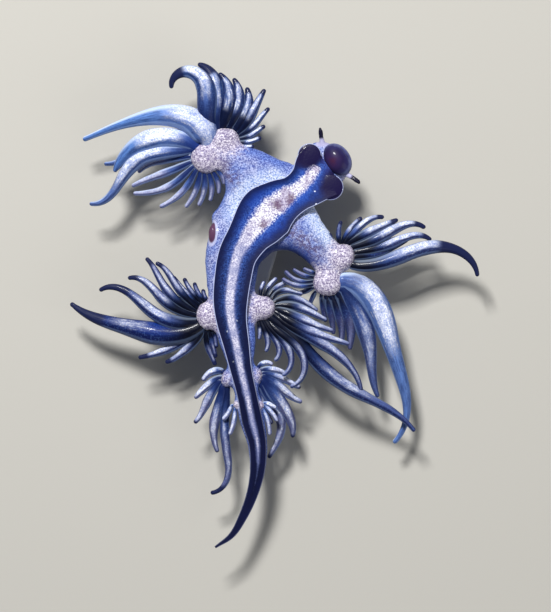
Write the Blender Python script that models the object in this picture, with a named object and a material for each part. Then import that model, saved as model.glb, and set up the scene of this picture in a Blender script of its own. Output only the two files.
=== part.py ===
"""Blue dragon sea slug, life size, floating foot up as it drifts, on a small display stand.

The foot faces up (+Z) and the head points to +X +Y. Seen from above, the animal's right side
is on the left (-X), because it floats on its back. Sizes are in millimetres.
"""

import math
from typing import NamedTuple

import bmesh
import bpy
import numpy as np
from mathutils import Matrix, Vector

MM = 0.001
UP = Vector((0, 0, 1))
TOUCH_GAP = 0.3  # between pieces that meet face to face

# Display stand: a flat oval base and two rods under the body
BASE_THICKNESS = 1.2
BASE_LENGTH = 16.0
BASE_WIDTH = 5.4
BASE_BEVEL = 0.25
ROD_RADIUS = 0.75
ROD_GAP = 0.1  # under each rod
ROD_FOOT = Vector((1.3, 4.1))  # from the base's centre to each rod, forward and back

# Body
FLANGE = 0.5  # thickness of the foot's edge where the body is deep
FLANGE_SHARE = 0.16  # and as a share of the depth where it is shallow
HOLLOW = 0.12  # how far the sole dips between its raised edges
MIDDLE_DIP = 1.3  # and how much more along the middle
PROBE = 0.02  # how far to each side of a place on a curve its direction is read
BODY_STEP = 1.3  # stations further apart than this have a cross-section halfway
RING_ANGLES = (208, 180, 150, 120, 90, 60, 30, 0, -28)  # round the flanks, from edge to edge
PAPILLA_AT = Vector((-3.35, 2.9, 6.5))
PAPILLA_SEMI = (0.42, 0.95, 0.6)
PAPILLA_TURN = -8.0

# Arms and gill pads
OVAL_SIDES = 12
PAD_SEMI_Z = 1.2
PAD_HEIGHT = 1.15  # a small pad's half height, against its half length
GILL_SETBACK = 0.75  # how far a ceras is sunk into its pad, as a share of the pad's radius
GILL_SETTLE = 2.0  # the distance over which a ceras rises or sinks to its own level
GILL_FLATNESS = 0.8  # height of a ceras against its width
THINNEST = 0.52
ROOT_SHARE = 0.65  # radius of a root, as a share of the widest
SUNK_SHARE = 0.8  # and inside the pad, as a share of the root's
SWELL_SHARE = 0.7  # where it reaches the widest, as a share of the way to where the taper starts
TIP_RADIUS = 0.2  # radius of a tip: this much, and a share of the girth
TIP_SHARE = 0.02
TAPER_END = 0.97
BLUNT_SHARE = 0.6  # radius of the very end, as a share of the tip's
LINE_STEPS = 96
SLIM = 1.0  # a ceras under this girth has fewer sides
SLIM_SIDES = 6
CERAS_SIDES = 8
RING_STEP = 1.6
RING_CROWDING = 1.3  # how much closer the rings lie towards the tip
FEWEST_RINGS = 3
MOST_RINGS = 10


class Station(NamedTuple):
    """A cross-section of the body: its place, the sole's height and the sizes of sole and flanks."""

    x: float
    y: float
    top: float
    foot: float  # half width of the sole
    flank: float  # half width of the body under it
    depth: float
    lean: float  # how far the flanks sit to the animal's left (+) of the sole's middle


# From the front edge of the foot to the tip of the tail
STATIONS = (
    Station(8.3, 9.5, 7.6, 2.0, 1.2, 2.2, 0.0),
    Station(7.95, 9.25, 7.7, 2.65, 1.4, 2.5, 0.0),
    Station(7.35, 8.85, 7.8, 2.9, 1.6, 2.8, 0.0),
    Station(6.2, 7.7, 7.9, 2.25, 1.8, 3.1, 0.0),
    Station(4.9, 6.8, 8.0, 1.95, 2.0, 3.3, 0.0),
    Station(3.4, 5.95, 8.0, 2.4, 2.6, 3.6, 0.0),
    Station(2.2, 5.0, 8.0, 2.85, 3.0, 3.8, -0.2),
    Station(1.2, 3.8, 8.0, 2.65, 3.3, 3.8, -0.4),
    Station(0.15, 2.4, 8.0, 2.15, 3.3, 3.8, -0.55),
    Station(-0.85, 0.65, 8.0, 1.95, 2.85, 3.7, -0.45),
    Station(-1.3, -1.5, 8.0, 1.86, 2.55, 3.5, -0.2),
    Station(-1.55, -3.8, 8.0, 1.75, 2.35, 3.3, 0.1),
    Station(-1.45, -5.8, 7.9, 1.55, 2.2, 3.1, 0.2),
    Station(-0.98, -8.2, 7.8, 1.33, 1.8, 2.7, 0.2),
    Station(-0.5, -10.75, 7.6, 1.1, 1.25, 2.3, 0.05),
    Station(0.1, -13.3, 7.4, 1.0, 1.25, 2.1, 0.0),
    Station(0.6, -15.8, 7.1, 1.03, 1.25, 1.9, 0.0),
    Station(1.15, -18.2, 6.8, 0.87, 1.0, 1.6, 0.0),
    Station(1.15, -20.8, 6.5, 0.75, 0.8, 1.3, 0.0),
    Station(0.6, -23.3, 6.2, 0.58, 0.6, 1.0, 0.0),
    Station(-0.35, -25.6, 6.0, 0.44, 0.45, 0.75, 0.0),
    Station(-1.45, -27.4, 5.9, 0.3, 0.3, 0.6, 0.0),
    Station(-3.1, -28.6, 5.9, 0.12, 0.12, 0.3, 0.0),
)

# The body's lengths, by the stations where they part
LENGTHS = (
    ("foot_front", 0, 4),
    ("torso_front", 4, 9),
    ("torso_rear", 9, 13),
    ("tail_base", 13, 16),
    ("tail_middle", 16, 19),
    ("tail_tip", 19, 22),
)


class Rib(NamedTuple):
    """An oval cross-section of an arm or the head, by its two side edges, its height and half depth."""

    right: tuple  # x and y of the edge on the animal's right, or nearest the head on an arm
    left: tuple  # and of the other edge
    z: float
    high: float


ARMS = {
    "arm_front_right": (
        Rib((5.6, 8.3), (-2.4, 2.0), 5.7, 1.25),
        Rib((4.7, 9.75), (-3.5, 4.3), 5.8, 1.35),
        Rib((3.3, 10.3), (-2.7, 5.6), 5.85, 1.45),
        Rib((1.6, 11.1), (-2.1, 7.2), 5.95, 1.4),
        Rib((-0.3, 11.9), (-2.6, 9.2), 6.05, 1.25),
        Rib((-2.1, 12.7), (-4.4, 10.2), 6.1, 1.0),
    ),
    "arm_front_left": (
        Rib((5.2, 6.5), (0.5, -0.1), 6.05, 1.5),
        Rib((6.5, 5.9), (1.8, 0.6), 6.15, 1.4),
        Rib((7.1, 5.1), (3.0, 1.1), 6.15, 1.4),
        Rib((7.6, 4.1), (4.4, 1.1), 6.15, 1.35),
        Rib((8.3, 3.1), (5.8, 0.3), 6.1, 1.3),
        Rib((9.2, 1.9), (6.8, -0.8), 6.05, 1.15),
        Rib((9.8, 0.7), (7.7, -1.6), 6.1, 1.0),
    ),
}


class Pad(NamedTuple):
    """The swollen end of an arm, that the cerata grow round."""

    x: float
    y: float
    z: float
    semi: tuple  # half length and half width
    turn: float  # heading of the length, in degrees


class Ceras(NamedTuple):
    """One gill finger, named by its rank along the fan. Those between two of them are in between.

    Its direction at a share s of its length is heading + bend s + hook s³ + sway sin(2πs) degrees.
    """

    rank: float
    root: float  # where it leaves the pad's rim, in degrees round the pad
    heading: float  # in degrees from +X
    length: float
    girth: float
    bend: float  # how far its heading turns, evenly
    hook: float  # and near the tip
    sway: float  # and back again on the way, as an S
    lift: float  # how far it rises (+) or sinks (-) to its own level
    waist: float = 0.5  # the share of its length where the taper starts
    taper: float = 1.0


class Fan(NamedTuple):
    pad: Pad
    sag: float  # how far the longest one droops
    cerata: tuple


FANS = {
    "gills_front_right_fore": Fan(
        Pad(-2.25, 12.35, 6.25, (1.65, 1.2), 10),
        0.6,
        (
            Ceras(0, -24, -30, 1.8, 0.45, 60, -20, 0, 0.2),
            Ceras(2, 0, 2, 2.9, 0.55, 75, -50, 0, 0.3),
            Ceras(3, 12, 20, 4.1, 0.7, 70, -50, 0, 0.4),
            Ceras(4, 24, 38, 5.1, 1.05, 60, -40, 4, 0.6),
            Ceras(5, 38, 58, 4.6, 1.35, 15, 40, -6, 0.3),
            Ceras(7, 97, 66, 5.8, 1.65, 36, 40, -2, 0.6),
            Ceras(8, 120, 91, 7.2, 1.8, -11, 89, 2, 0.2, 0.66, 1.0),
            Ceras(9, 146, 123, 9.7, 2.0, -76, 238, -19, 0.9),
        ),
    ),
    "gills_front_right_hind": Fan(
        Pad(-4.1, 10.4, 6.2, (1.65, 1.5), 120),
        1.6,
        (
            Ceras(0, 76, 103, 14.3, 3.1, 198, -100, 10, 0.5, 0.15, 1.45),
            Ceras(1, 127, 153, 9.6, 2.2, 88, 5, -1, 0.2, 0.5, 0.7),
            Ceras(2, 128, 168, 9.6, 1.2, 86, -80, -8, -0.9, 0.4, 1.0),
            Ceras(3, 147, 190, 12.4, 1.5, 94, -117, -24, 0.3),
            Ceras(4, 172, 184, 5.6, 0.95, 4, 46, 1, -0.8),
            Ceras(5, 195, 206, 6.4, 0.85, -18, 20, 0, -0.6),
            Ceras(6, 215, 224, 6.8, 0.8, -36, -9, 5, -0.5),
            Ceras(8, 252, 263, 3.8, 0.65, -33, -2, 0, -0.6),
            Ceras(12, 315, 320, 1.7, 0.48, -42, -10, 0, -0.4),
        ),
    ),
    "gills_front_left_fore": Fan(
        Pad(9.8, 0.45, 6.25, (1.5, 1.15), 75),
        1.0,
        (
            Ceras(0, 124, 122, 1.6, 0.45, 16, -58, 0, 0.3),
            Ceras(2, 97, 68, 3.3, 0.6, -30, -2, 0, 0.4),
            Ceras(3, 86, 45, 4.9, 0.75, 12, -74, 1, 0.4),
            Ceras(4, 72, 28, 5.5, 1.0, -4, -1, 1, 0.5),
            Ceras(5, 48, 14, 7.8, 1.15, 59, -117, -4, 0.4),
            Ceras(6, 25, 8, 8.0, 1.1, 57, -112, -7, 0.0),
            Ceras(7, 4, 6, 5.6, 1.1, 30, -10, 0, -0.4),
            Ceras(8, -39, -10, 14.3, 1.55, 91, -169, 9, 0.2),
        ),
    ),
    "gills_front_left_hind": Fan(
        Pad(8.2, -2.1, 6.1, (1.6, 1.4), 0),
        1.5,
        (
            Ceras(0, 8, -9, 19.0, 2.7, -128, 1, -22, -0.9, 0.2, 1.25),
            Ceras(1, -20, -58, 11.7, 1.9, -48, 41, 8, -1.1, 0.4, 1.0),
            Ceras(2, -46, -64, 5.9, 1.4, -23, -11, 6, -1.3),
            Ceras(3, -76, -67, 5.0, 1.0, -11, -24, 4, -1.4),
            Ceras(5, -118, -84, 2.7, 0.55, 8, 4, 0, -1.5),
            Ceras(6, -145, -117, 1.8, 0.5, 5, 12, 0, -1.9),
            Ceras(7, -162, -153, 1.7, 0.5, -8, -25, 0, -1.9),
            Ceras(8, -173, -164, 3.2, 0.52, -58, 2, 0, 0.6),
            Ceras(9, -187, -163, 3.1, 0.52, -82, 12, 0, 0.6),
            Ceras(11, -218, -196, 1.4, 0.48, -12, -3, 0, 0.7),
        ),
    ),
    "gills_rear_right": Fan(
        Pad(-3.95, -5.45, 6.1, (1.5, 1.15), 95),
        1.3,
        (
            Ceras(0, 84, 128, 1.4, 0.45, -22, -26, 0, 0.2),
            Ceras(3, 124, 141, 3.9, 0.6, -20, 5, 0, 0.3),
            Ceras(4, 139, 138, 6.2, 0.85, -46, 70, 6, 0.4),
            Ceras(5, 155, 159, 7.5, 0.95, -82, 60, 4, 0.5),
            Ceras(6, 174, 171, 8.0, 1.1, -108, 138, 6, 0.4),
            Ceras(7, 208, 196, 10.9, 1.5, -158, 182, 2, 0.3, 0.3, 1.0),
            Ceras(8, 232, 214, 13.7, 2.3, -102, 27, -12, -0.2, 0.36, 0.95),
            Ceras(9, 243, 216, 7.0, 0.95, -18, -8, 3, -0.5),
            Ceras(10, 252, 257, 5.1, 0.85, -78, 12, -11, -0.5),
            Ceras(11, 268, 264, 3.6, 0.65, 60, -36, 0, -0.5),
            Ceras(13, 296, 292, 1.9, 0.48, -30, 12, 0, -0.2),
        ),
    ),
    "gills_rear_left": Fan(
        Pad(1.75, -4.6, 6.3, (1.3, 1.3), 0),
        1.1,
        (
            Ceras(0, 103, 95, 1.5, 0.45, -52, 24, 0, -0.5),
            Ceras(2, 66, 58, 2.8, 0.55, -52, 8, 0, -0.6),
            Ceras(3, 47, 65, 3.4, 0.65, -150, 75, 0, -0.7),
            Ceras(4, 28, 30, 4.7, 0.8, -104, 42, 2, -0.5),
            Ceras(6, -5, -17, 6.1, 1.05, -18, 20, -2, 0.5),
            Ceras(7, -18, -35, 8.1, 1.15, 29, -13, -2, 0.5),
            Ceras(8, -31, -40, 11.9, 1.2, 36, -78, 3, 0.4),
            Ceras(9, -53, -34, 18.5, 1.5, 2, -21, -14, 0.1),
            Ceras(10, -68, -57, 8.8, 0.95, 39, -149, 12, 0.5),
            Ceras(12, -90, -64, 4.6, 0.8, 39, -126, 2, 0.0),
            Ceras(14, -113, -78, 2.0, 0.5, -13, -17, 0, 0.0),
        ),
    ),
    "gills_tail_right": Fan(
        Pad(-1.95, -11.7, 6.0, (1.0, 0.62), 80),
        0.9,
        (
            Ceras(0, 115, 160, 2.5, 0.8, 102, -26, 0, -0.7),
            Ceras(1, 165, 207, 3.4, 0.85, 28, -6, 0, -0.7),
            Ceras(2, 200, 230, 5.0, 0.95, 42, -52, -2, -0.7),
            Ceras(3, 246, 267, 6.7, 1.15, -34, 63, -6, -0.9),
            Ceras(4, 273, 269, 11.5, 0.95, 52, -141, -14, -0.45),
        ),
    ),
    "gills_tail_left": Fan(
        Pad(1.1, -11.35, 6.0, (0.95, 0.62), 95),
        0.9,
        (
            Ceras(0, 80, 48, 1.6, 0.55, -76, -28, 0, -0.1),
            Ceras(1, 50, 8, 2.5, 0.7, -35, 0, 0, -0.4),
            Ceras(2, 20, -8, 4.1, 0.8, -38, 22, 1, -0.7),
            Ceras(3, -12, -29, 4.7, 1.1, -27, 36, 0, -0.8),
            Ceras(4, -45, -48, 6.7, 1.45, -3, -52, -2, -0.8),
            Ceras(5, -68, -65, 8.4, 1.1, -18, -41, 16, -1.1),
            Ceras(6, -95, -65, 4.3, 0.6, -14, 15, 0, -1.0),
        ),
    ),
    "tuft_tail_right": Fan(
        Pad(-1.05, -14.3, 6.3, (0.5, 0.4), 90),
        0.2,
        (
            Ceras(0, 190, 252, 1.7, 0.5, -26, -4, 0, 0.1),
            Ceras(1, 262, 270, 2.6, 0.55, -22, -6, 0, 0.1),
        ),
    ),
    "tuft_tail_left": Fan(
        Pad(1.55, -14.3, 6.3, (0.5, 0.4), 90),
        0.2,
        (
            Ceras(0, 30, -18, 1.2, 0.5, -18, 0, 0, 0.3),
            Ceras(2, -70, -62, 2.7, 0.52, -28, 0, 0, 0.1),
        ),
    ),
}

# Fans that lie close together: the second is kept clear of the first
NEIGHBOURS = {
    "gills_front_right_fore": ("gills_front_right_hind",),
    "gills_front_left_fore": ("gills_front_left_hind",),
}

# Head, under the foot's front edge
SOLE_DEPTH = 1.15  # thickness of the foot where the head lies under it
HEAD = (
    Rib((3.7, 8.2), (6.6, 5.9), 6.05, 1.4),
    Rib((5.0, 9.8), (8.1, 6.9), 5.95, 1.35),
    Rib((5.9, 11.2), (9.5, 7.9), 5.95, 1.3),
    Rib((6.9, 12.0), (10.2, 8.8), 6.1, 1.15),
    Rib((8.0, 12.0), (10.3, 9.7), 6.3, 0.9),
    Rib((8.9, 11.6), (10.1, 10.5), 6.5, 0.5),
)
MOUTH_AT = Vector((9.15, 10.25, 6.9))
MOUTH_SEMI = (1.3, 1.75, 1.1)
MOUTH_TURN = 34.0
LIP_GROOVE = (1.5, 0.12, 0.5)  # half length, half width and depth of the line of the mouth
LIP_TILT = -40.0


class Feeler(NamedTuple):
    """A short round tentacle: its root inside the head, its tip, and how far it bows on the way."""

    root: tuple
    tip: tuple
    bow: tuple


FEELER_SIDES = 8
FEELER_RADII = (0.46, 0.38, 0.28, 0.27, 0.15)
FEELERS = {
    "oral_tentacle_right": Feeler((7.9, 10.7, 6.2), (7.4, 13.5, 7.15), (-0.05, 0.0, 0.15)),
    "oral_tentacle_left": Feeler((8.9, 9.3, 6.2), (11.5, 7.8, 7.15), (0.1, 0.1, 0.15)),
    "rhinophore_right": Feeler((6.35, 9.2, 5.6), (6.0, 9.6, 3.3), (0.0, 0.0, 0.0)),
    "rhinophore_left": Feeler((7.65, 8.25, 5.6), (7.95, 7.95, 3.3), (0.0, 0.0, 0.0)),
}

COLOURS = {
    "body_navy": ((0.03, 0.06, 0.25), 0.35),
    "silver_blue_skin": ((0.30, 0.38, 0.62), 0.45),
    "gill_blue": ((0.08, 0.13, 0.38), 0.4),
    "maroon_mouth": ((0.05, 0.01, 0.04), 0.3),
    "feeler_indigo": ((0.03, 0.03, 0.09), 0.35),
    "stand_white": ((0.78, 0.77, 0.74), 0.5),
}


def clear_scene():
    for obj in list(bpy.data.objects):
        bpy.data.objects.remove(obj)


def material(slot):
    found = bpy.data.materials.get(slot)
    if found:
        return found
    colour, roughness = COLOURS[slot]
    made = bpy.data.materials.new(slot)
    made.use_nodes = True
    shader = made.node_tree.nodes["Principled BSDF"]
    shader.inputs["Base Color"].default_value = (*colour, 1)
    shader.inputs["Roughness"].default_value = roughness
    return made


def place(name, bm, slot):
    """Ends a bmesh made in millimetres as a smooth-shaded object in metres."""
    bmesh.ops.recalc_face_normals(bm, faces=bm.faces)
    bmesh.ops.scale(bm, vec=(MM, MM, MM), verts=bm.verts)
    mesh = bpy.data.meshes.new(name)
    bm.to_mesh(mesh)
    bm.free()
    mesh.materials.append(material(slot))
    mesh.shade_smooth()
    obj = bpy.data.objects.new(name, mesh)
    bpy.context.scene.collection.objects.link(obj)
    return obj


def loft(name, rings, slot):
    """A closed skin over cross-sections, each one an extrusion of the last one's face."""
    bm = bmesh.new()
    first = [bm.verts.new(point) for point in rings[0]]
    face = bm.faces.new(first)
    for ring in rings[1:]:
        face = bmesh.ops.extrude_discrete_faces(bm, faces=[face])["faces"][0]
        for vert, point in zip(face.verts, ring):
            vert.co = point
    bm.faces.new(reversed(first))
    return place(name, bm, slot)


def ellipsoid(name, centre, semi, turn, slot, sides=12):
    matrix = Matrix.Translation(centre) @ Matrix.Rotation(math.radians(turn), 4, "Z")
    matrix = matrix @ Matrix.Diagonal((*semi, 1))
    bm = bmesh.new()
    bmesh.ops.create_uvsphere(bm, u_segments=sides, v_segments=sides // 2 + 1, radius=1, matrix=matrix)
    return place(name, bm, slot)


def apply_modifiers(obj):
    graph = bpy.context.evaluated_depsgraph_get()
    made = bpy.data.meshes.new_from_object(obj.evaluated_get(graph))
    obj.modifiers.clear()
    obj.data = made


def combine(obj, others, operation):
    """Joins others to obj, or cuts them from it, with one Boolean, and removes them."""
    group = bpy.data.collections.new("tools")
    for other in others:
        bpy.context.scene.collection.objects.unlink(other)
        group.objects.link(other)
    bpy.context.scene.collection.children.link(group)
    boolean = obj.modifiers.new("combine", "BOOLEAN")
    boolean.operation = operation
    boolean.operand_type = "COLLECTION"
    boolean.collection = group
    boolean.solver = "MANIFOLD"
    apply_modifiers(obj)
    for other in others:
        bpy.data.objects.remove(other)
    bpy.data.collections.remove(group)
    keep_largest(obj)
    return obj


def keep_largest(obj):
    """Leaves only the closed surface with the most faces, without sealed hollows or loose scraps."""
    bm = bmesh.new()
    bm.from_mesh(obj.data)
    islands = []
    waiting = set(bm.verts)
    while waiting:
        island = {waiting.pop()}
        edge = set(island)
        while edge:
            edge = {e.other_vert(v) for v in edge for e in v.link_edges} - island
            island |= edge
        waiting -= island
        islands.append(island)
    islands.sort(key=len)
    scraps = [vert for island in islands[:-1] for vert in island]
    bmesh.ops.delete(bm, geom=scraps, context="VERTS")
    bm.to_mesh(obj.data)
    bm.free()


def level(angle):
    """A level unit vector at an angle from +X, in degrees."""
    return Vector((math.cos(math.radians(angle)), math.sin(math.radians(angle)), 0))


def catmull_rom(rows, at):
    """The point a share of the way along rows of numbers, on a smooth curve through them."""
    rows = np.asarray(rows, float)
    i = min(int(at), len(rows) - 2)
    t = at - i
    before = rows[i - 1] if i > 0 else 2 * rows[0] - rows[1]
    after = rows[i + 2] if i + 2 < len(rows) else 2 * rows[-1] - rows[-2]
    a, b = rows[i], rows[i + 1]
    return 0.5 * (
        2 * a
        + (b - before) * t
        + (2 * before - 5 * a + 4 * b - after) * t**2
        + (3 * a - before - 3 * b + after) * t**3
    )


def frame_at(rows, at):
    """Place and the two level directions, forward and to the side, at a share along a curve."""
    ahead = catmull_rom(rows, min(at + PROBE, len(rows) - 1.0))
    behind = catmull_rom(rows, max(at - PROBE, 0.0))
    forward = Vector((*(ahead - behind)[:2], 0)).normalized()
    return catmull_rom(rows, at), forward, Vector((forward.y, -forward.x, 0))


def body_ring(at, grow=0.0, shift=0.0, depth=None):
    """The cross-section of sole and flanks at a station number, swollen all round by grow.

    A shift moves it towards the tail, without turning it.
    """
    values, tailwards, side = frame_at(STATIONS, at)
    here = Station(*values)
    if depth:
        here = here._replace(depth=min(depth, here.depth))
    foot = here.foot + grow
    flank = here.flank + grow
    edge = min(FLANGE, FLANGE_SHARE * here.depth)
    middle = here.top - edge - 0.5 * (here.depth - edge)
    half = 0.5 * (here.depth - edge) + grow
    top = here.top + grow
    under = here.top - edge - (grow if foot > flank else 0)
    dip = HOLLOW * min(1, here.foot)
    outline = [
        (foot, top),
        (0.5 * foot, top - dip),
        (0.0, top - MIDDLE_DIP * dip),
        (-0.5 * foot, top - dip),
        (-foot, top),
        (-foot, under),
    ]
    for angle in RING_ANGLES[1:-1]:
        across = -here.lean - flank * math.cos(math.radians(180 - angle))
        outline.append((across, middle - half * math.sin(math.radians(angle))))
    outline.append((foot, under))
    centre = Vector((here.x, here.y, 0)) + tailwards * shift
    return [centre - side * across + Vector((0, 0, height)) for across, height in outline]


def body_length(name, first, last, grow=0.0, trim=TOUCH_GAP / 2, depth=None):
    """One length of the body between two stations, kept off the next by half a gap at each end."""
    numbers = [float(first)]
    for here in range(first, last):
        a, b = STATIONS[here], STATIONS[here + 1]
        if math.hypot(b.x - a.x, b.y - a.y) > BODY_STEP:
            numbers.append(here + 0.5)
        numbers.append(here + 1.0)
    shifts = [0.0] * len(numbers)
    shifts[0] = trim if first else -grow
    shifts[-1] = -trim if last < len(STATIONS) - 1 else grow
    rings = [body_ring(number, grow, shift, depth) for number, shift in zip(numbers, shifts)]
    return loft(name, rings, "body_navy")


def swollen_body(first, last, depth=None):
    """The body round some stations, swollen by the gap that its neighbours keep to it."""
    return body_length("swollen", first, last, TOUCH_GAP, -TOUCH_GAP, depth)


def oval_loft(name, rows, grow=0.0):
    """An arm, or the head, as upright ovals that pass smoothly through its ribs."""
    rings = []
    flat = [(*row.right, *row.left, row.z, row.high) for row in rows]
    for at in np.linspace(0, len(rows) - 1, 2 * len(rows) - 1):
        ax, ay, bx, by, z, high = (float(value) for value in catmull_rom(flat, at))
        centre = Vector(((ax + bx) / 2, (ay + by) / 2, z))
        side = Vector((ax - bx, ay - by, 0)) / 2
        side += side.normalized() * grow
        ring = []
        for turn in range(OVAL_SIDES):
            angle = 2 * math.pi * turn / OVAL_SIDES
            ring.append(centre + side * math.cos(angle) + Vector((0, 0, (high + grow) * math.sin(angle))))
        rings.append(ring)
    return loft(name, rings, "silver_blue_skin")


def pad_semi(pad, grow=0.0):
    high = min(PAD_SEMI_Z, PAD_HEIGHT * pad.semi[0])
    return pad.semi[0] + grow, pad.semi[1] + grow, high + grow


def rim_point(pad, angle, share=1.0):
    """A point on the pad's level outline, or inside it, at an angle round its centre."""
    turned = math.radians(angle - pad.turn)
    long, wide = pad.semi
    reach = share * long * wide / math.hypot(wide * math.cos(turned), long * math.sin(turned))
    return Vector((pad.x, pad.y, pad.z)) + level(angle) * reach


def cerata_of(fan):
    """Every ceras of a fan: the named ones, and those between them in even steps."""
    named = np.array(fan.cerata, float)
    for rank in range(int(named[0, 0]), int(named[-1, 0]) + 1):
        yield Ceras(*[float(np.interp(rank, named[:, 0], column)) for column in named.T])


def ceras_radius(ceras, share):
    """Radius along a ceras: its root, its widest part, a long taper and a blunt tip."""
    widest = max(ceras.girth, THINNEST) / 2
    tip = min(widest, TIP_RADIUS + TIP_SHARE * ceras.girth)
    rise = math.sin(math.pi / 2 * min(1, share / (SWELL_SHARE * ceras.waist)))
    swell = ROOT_SHARE + (1 - ROOT_SHARE) * rise
    left = min(1, max(0, (TAPER_END - share) / (TAPER_END - ceras.waist)))
    return tip + (widest * swell - tip) * left**ceras.taper


def ceras_line(fan, ceras):
    """Centre points from the pad's rim to the tip, in even steps."""
    longest = max(c.length for c in fan.cerata)
    point = rim_point(fan.pad, ceras.root)
    base = point.z
    step = ceras.length / LINE_STEPS
    points = [point]
    for i in range(LINE_STEPS):
        share = (i + 0.5) / LINE_STEPS
        turned = ceras.bend * share + ceras.hook * share**3 + ceras.sway * math.sin(2 * math.pi * share)
        point = point + level(ceras.heading + turned) * step
        gone = step * (i + 1)
        rise = ceras.lift * (1 - math.exp(-gone / GILL_SETTLE))
        point.z = base + rise - fan.sag * (gone / longest) ** 2
        points.append(point)
    return points


def ceras_tube(fan, ceras, grow=0.0):
    """One ceras as a flattened, tapering tube with its root inside the pad."""
    sides = SLIM_SIDES if ceras.girth < SLIM else CERAS_SIDES
    last = max(FEWEST_RINGS, min(MOST_RINGS, round(ceras.length / RING_STEP) + 2))
    ceras = ceras._replace(length=ceras.length + grow)
    line = ceras_line(fan, ceras)
    shares = [1 - (1 - i / last) ** RING_CROWDING for i in range(last + 1)]
    stops = [rim_point(fan.pad, ceras.root, 1 - GILL_SETBACK)]
    stops += [line[round(share * LINE_STEPS)] for share in shares]
    radii = [ceras_radius(ceras, 0) * SUNK_SHARE]
    radii += [ceras_radius(ceras, share) for share in shares]
    radii[-1] *= BLUNT_SHARE
    rings = []
    for i, (stop, radius) in enumerate(zip(stops, radii)):
        along = (stops[min(i + 1, last + 1)] - stops[max(i - 1, 0)]).normalized()
        side = along.cross(UP).normalized()
        over = side.cross(along)
        wide = radius + grow
        high = max(radius * GILL_FLATNESS, min(radius, THINNEST / 2)) + grow
        ring = []
        for turn in range(sides):
            angle = 2 * math.pi * (turn + 0.5) / sides
            ring.append(stop + side * wide * math.cos(angle) + over * high * math.sin(angle))
        rings.append(ring)
    return loft("ceras", rings, "gill_blue")


def gill_fan(name, grow=0.0):
    """A gill pad with its row of cerata, fused into one closed body."""
    fan = FANS[name]
    centre = Vector((fan.pad.x, fan.pad.y, fan.pad.z))
    pad = ellipsoid(name, centre, pad_semi(fan.pad, grow), fan.pad.turn, "gill_blue")
    return combine(pad, [ceras_tube(fan, ceras, grow) for ceras in cerata_of(fan)], "UNION")


def feeler(name):
    """An oral tentacle or rhinophore, cut clear of the head and mouth."""
    here = FEELERS[name]
    root, tip, bow = Vector(here.root), Vector(here.tip), Vector(here.bow)
    along = (tip - root).normalized()
    side = along.orthogonal().normalized()
    over = along.cross(side)
    rings = []
    angles = [2 * math.pi * turn / FEELER_SIDES for turn in range(FEELER_SIDES)]
    for i, radius in enumerate(FEELER_RADII):
        share = i / (len(FEELER_RADII) - 1)
        centre = root.lerp(tip, share) + bow * (4 * share * (1 - share))
        rings.append([centre + radius * (side * math.cos(a) + over * math.sin(a)) for a in angles])
    cutters = [oval_loft("swollen", HEAD, TOUCH_GAP), mouth_ball("swollen", TOUCH_GAP)]
    return combine(loft(name, rings, "feeler_indigo"), cutters, "DIFFERENCE")


def mouth_ball(name, grow=0.0):
    semi = [s + grow for s in MOUTH_SEMI]
    return ellipsoid(name, MOUTH_AT, semi, MOUTH_TURN, "maroon_mouth", 16)


def mouth():
    """The domed mouth, with the line of the lips cut across it."""
    long, wide, deep = LIP_GROOVE
    turned = Matrix.Rotation(math.radians(MOUTH_TURN), 4, "Z")
    front = turned @ Vector((MOUTH_SEMI[0], 0, 0))
    matrix = Matrix.Translation(MOUTH_AT + front + Vector((0, 0, MOUTH_SEMI[2] / 2))) @ turned
    matrix = matrix @ Matrix.Rotation(math.radians(LIP_TILT), 4, "Y")
    matrix = matrix @ Matrix.Diagonal((2 * deep, 2 * long, 2 * wide, 1))
    bm = bmesh.new()
    bmesh.ops.create_cube(bm, size=1, matrix=matrix)
    return combine(mouth_ball("mouth"), [place("groove", bm, "maroon_mouth")], "DIFFERENCE")


def head():
    """The flesh between the front of the foot and the mouth."""
    cutters = [
        swollen_body(0, 4, SOLE_DEPTH),
        swollen_body(4, 6),
        mouth_ball("swollen", TOUCH_GAP),
    ]
    return combine(oval_loft("head", HEAD), cutters, "DIFFERENCE")


def stand():
    """The base under the animal and the two rods that carry it."""
    bm = bmesh.new()
    matrix = Matrix.Translation((0, 0, BASE_THICKNESS / 2)) @ Matrix.Rotation(
        math.atan2(ROD_FOOT.y, ROD_FOOT.x), 4, "Z"
    )
    matrix = matrix @ Matrix.Diagonal((BASE_LENGTH / 2, BASE_WIDTH / 2, 1, 1))
    bmesh.ops.create_cone(
        bm, cap_ends=True, segments=40, radius1=1, radius2=1, depth=BASE_THICKNESS, matrix=matrix
    )
    rim = [e for e in bm.edges if all(v.co.z > BASE_THICKNESS / 2 for v in e.verts)]
    bmesh.ops.bevel(bm, geom=rim, offset=BASE_BEVEL, segments=2, profile=0.5, affect="EDGES", material=-1)
    place("stand_base", bm, "stand_white")
    for name, at in (("stand_rod_front", ROD_FOOT), ("stand_rod_rear", -ROD_FOOT)):
        bottom = BASE_THICKNESS + ROD_GAP
        top = underside(at) - TOUCH_GAP / 2
        bm = bmesh.new()
        bmesh.ops.create_cone(
            bm,
            cap_ends=True,
            segments=16,
            radius1=ROD_RADIUS,
            radius2=ROD_RADIUS,
            depth=top - bottom,
            matrix=Matrix.Translation((*at, (top + bottom) / 2)),
        )
        place(name, bm, "stand_white")


def underside(at):
    """Height of the body's underside at the station nearest to a point."""
    nearest = min(STATIONS, key=lambda s: (Vector((s.x, s.y)) - at).length)
    return nearest.top - nearest.depth


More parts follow.
